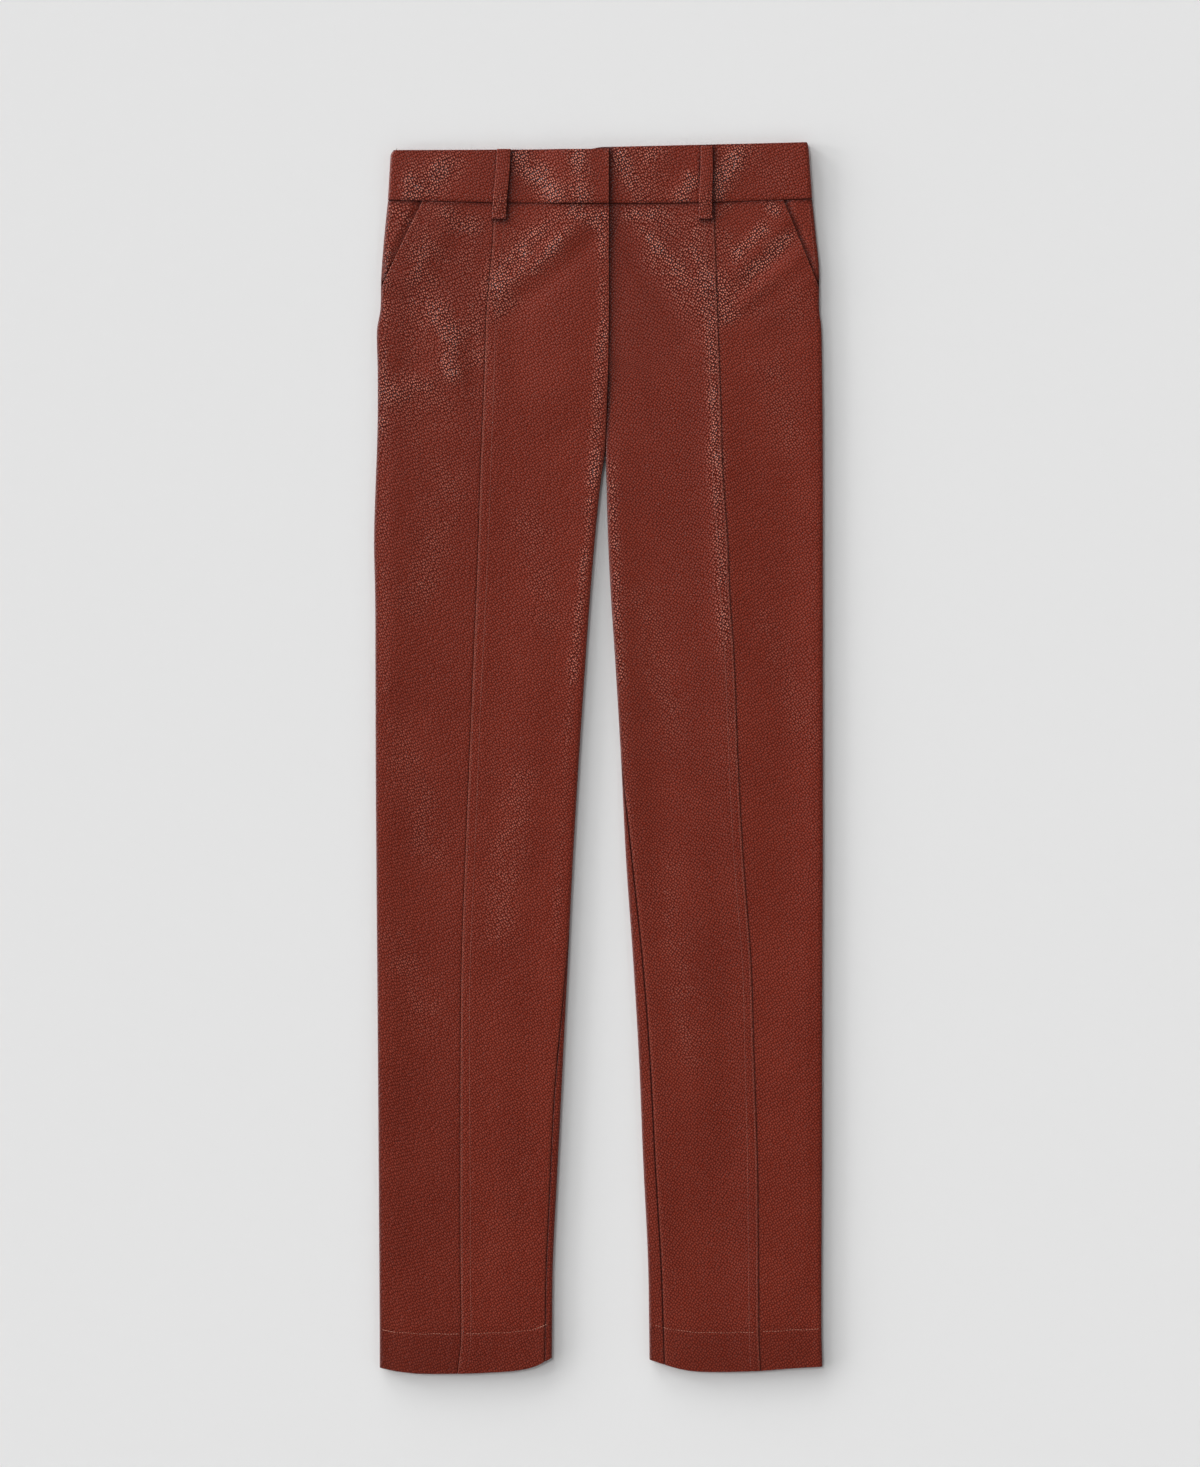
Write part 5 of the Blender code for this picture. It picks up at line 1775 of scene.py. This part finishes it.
Finish = namedtuple("Finish", "name pebble_size relief dull")
LEATHERS = {finish.name: leather(*finish) for finish in rows_of(Finish, [
    ("leather_front", 0.0020, 0.00030, 0.29),
    ("leather_back", 0.0020, 0.00030, 0.31),
    ("leather_band", 0.0020, 0.00032, 0.28),
    ("leather_loop", 0.0020, 0.00028, 0.29),
    ("leather_facing", 0.0022, 0.00028, 0.32),
])}
for sheet in SHEETS.values():
    sheet["piece"].data.materials.append(LEATHERS[sheet["slot"]])
print("leathers:", sorted(LEATHERS))


# %% Thread
def make_thread(name, dark, pale):
    """A matt twisted thread."""
    material, tree, shader = new_material(name)
    place = add(tree, "ShaderNodeTexCoord").outputs["Object"]
    patches = noise(tree, place, 40.0, 3.0)
    color = mix_color(tree, ramp(tree, patches.outputs["Fac"], 0.35, 0.65), dark, pale)
    twist = noise(tree, place, 2600.0, 2.0).outputs["Fac"]
    roughness = ramp(tree, twist, 0.3, 0.7, 0.6, 0.8)
    bump = add(tree, "ShaderNodeBump", {"Distance": 0.0001, "Height": twist})
    feed(tree, shader, {"Base Color": color, "Roughness": roughness, "Normal": bump.outputs["Normal"]})
    return material


THREADS = (
    (SEAM_STITCHES, make_thread("seam_thread", (0.18, 0.030, 0.016, 1.0), (0.24, 0.060, 0.038, 1.0))),
    (HEM_STITCHES, make_thread("hem_thread", (0.34, 0.120, 0.075, 1.0), (0.48, 0.220, 0.155, 1.0))),
)
for stitches, material in THREADS:
    for thread in stitches.values():
        thread.data.materials.clear()
        thread.data.materials.append(material)
print("threads:", len(THREADS))

# %% [markdown]
# ## The table and the light
#
# The table is a plain pale plane. The light is soft and nearly even: a key from the upper left
# that the pebbles catch, and a fan of low windows beyond it, whose light draws the wide soft
# shadow to the right of and below each edge. Suns are used, because a sun's light is equally
# strong over the whole table, and their large angle makes them as soft as a window. The room
# itself is grey, and darker overhead: leather that lies flat mirrors what is above it, and a
# bright ceiling would lay a milky haze over its colour.

# %% The table
FLOOR_DROP = 0.4
FLOOR_SIZE = 12.0
PALE = (0.8, 0.8, 0.8, 1.0)

bpy.ops.object.select_all(action="DESELECT")
bpy.ops.mesh.primitive_plane_add(size=FLOOR_SIZE, location=(0.0, 0.0, -FLOOR_DROP * MM))
floor = bpy.context.object
floor.name = "table_top"
pale, tree, shader = new_material("pale_table")
feed(tree, shader, {"Base Color": PALE, "Roughness": 0.9, "Specular IOR Level": 0.1})
floor.data.materials.append(pale)

# %% Lights
Sun = namedtuple("Sun", "name azimuth elevation angle strength")
HORIZON_LIGHT = 0.62
CEILING_LIGHT = 0.03
LIGHT_FADE = (0.50, 0.85)
SUNS = rows_of(Sun, [
    ("key", -50.0, 60.0, 16.0, 0.70),
    ("window_left", -92.0, 20.0, 24.0, 0.50),
    ("window_middle", -56.0, 20.0, 24.0, 0.68),
    ("window_top", -20.0, 20.0, 24.0, 0.46),
    ("low_far_left", -108.0, 8.0, 14.0, 1.00),
    ("low_left", -82.0, 8.0, 14.0, 1.54),
    ("low_middle", -56.0, 8.0, 14.0, 1.65),
    ("low_top", -30.0, 8.0, 14.0, 1.38),
    ("low_far_top", -4.0, 8.0, 14.0, 0.88),
])


def hang(sun):
    """Azimuth is clockwise from the waist's direction, elevation is over the table."""
    light = bpy.data.lights.new(sun.name, "SUN")
    light.energy = sun.strength
    light.angle = math.radians(sun.angle)
    lamp = bpy.data.objects.new(sun.name, light)
    azimuth, elevation = math.radians(sun.azimuth), math.radians(sun.elevation)
    toward = Vector((math.sin(azimuth) * math.cos(elevation),
                     math.cos(azimuth) * math.cos(elevation), math.sin(elevation)))
    lamp.rotation_euler = toward.to_track_quat("Z", "Y").to_euler()
    lamp.location = toward * 2.0
    bpy.context.scene.collection.objects.link(lamp)


for sun in SUNS:
    hang(sun)

world = bpy.data.worlds.new("studio")
world.use_nodes = True
room = world.node_tree
toward = add(room, "ShaderNodeTexCoord").outputs["Generated"]
upward = add(room, "ShaderNodeSeparateXYZ", {"Vector": toward}).outputs["Z"]
brightness = ramp(room, upward, *LIGHT_FADE, HORIZON_LIGHT, CEILING_LIGHT)
feed(room, room.nodes["Background"], {"Strength": brightness, "Color": (1.0, 1.0, 1.0, 1.0)})
bpy.context.scene.world = world
bpy.context.scene.view_settings.view_transform = "Standard"
print("lights:", len(SUNS))

# %% [markdown]
# ## Every piece in its place
#
# Each sheet rides on the garment's one body and stands for the solid of the same name, which
# stays for collision alone, hidden. Its flat size, kept with the sheet, is what a cutter
# would cut for the part that is modelled: measured along the cloth, round the rolls too.

for name, sheet in SHEETS.items():
    piece = sheet["piece"]
    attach(piece, "root")
    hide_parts(sheet["node"])

for thread in (*SEAM_STITCHES.values(), *HEM_STITCHES.values()):
    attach(thread, "root")
print("pieces:", len(SHEETS) + len(SEAM_STITCHES) + len(HEM_STITCHES))
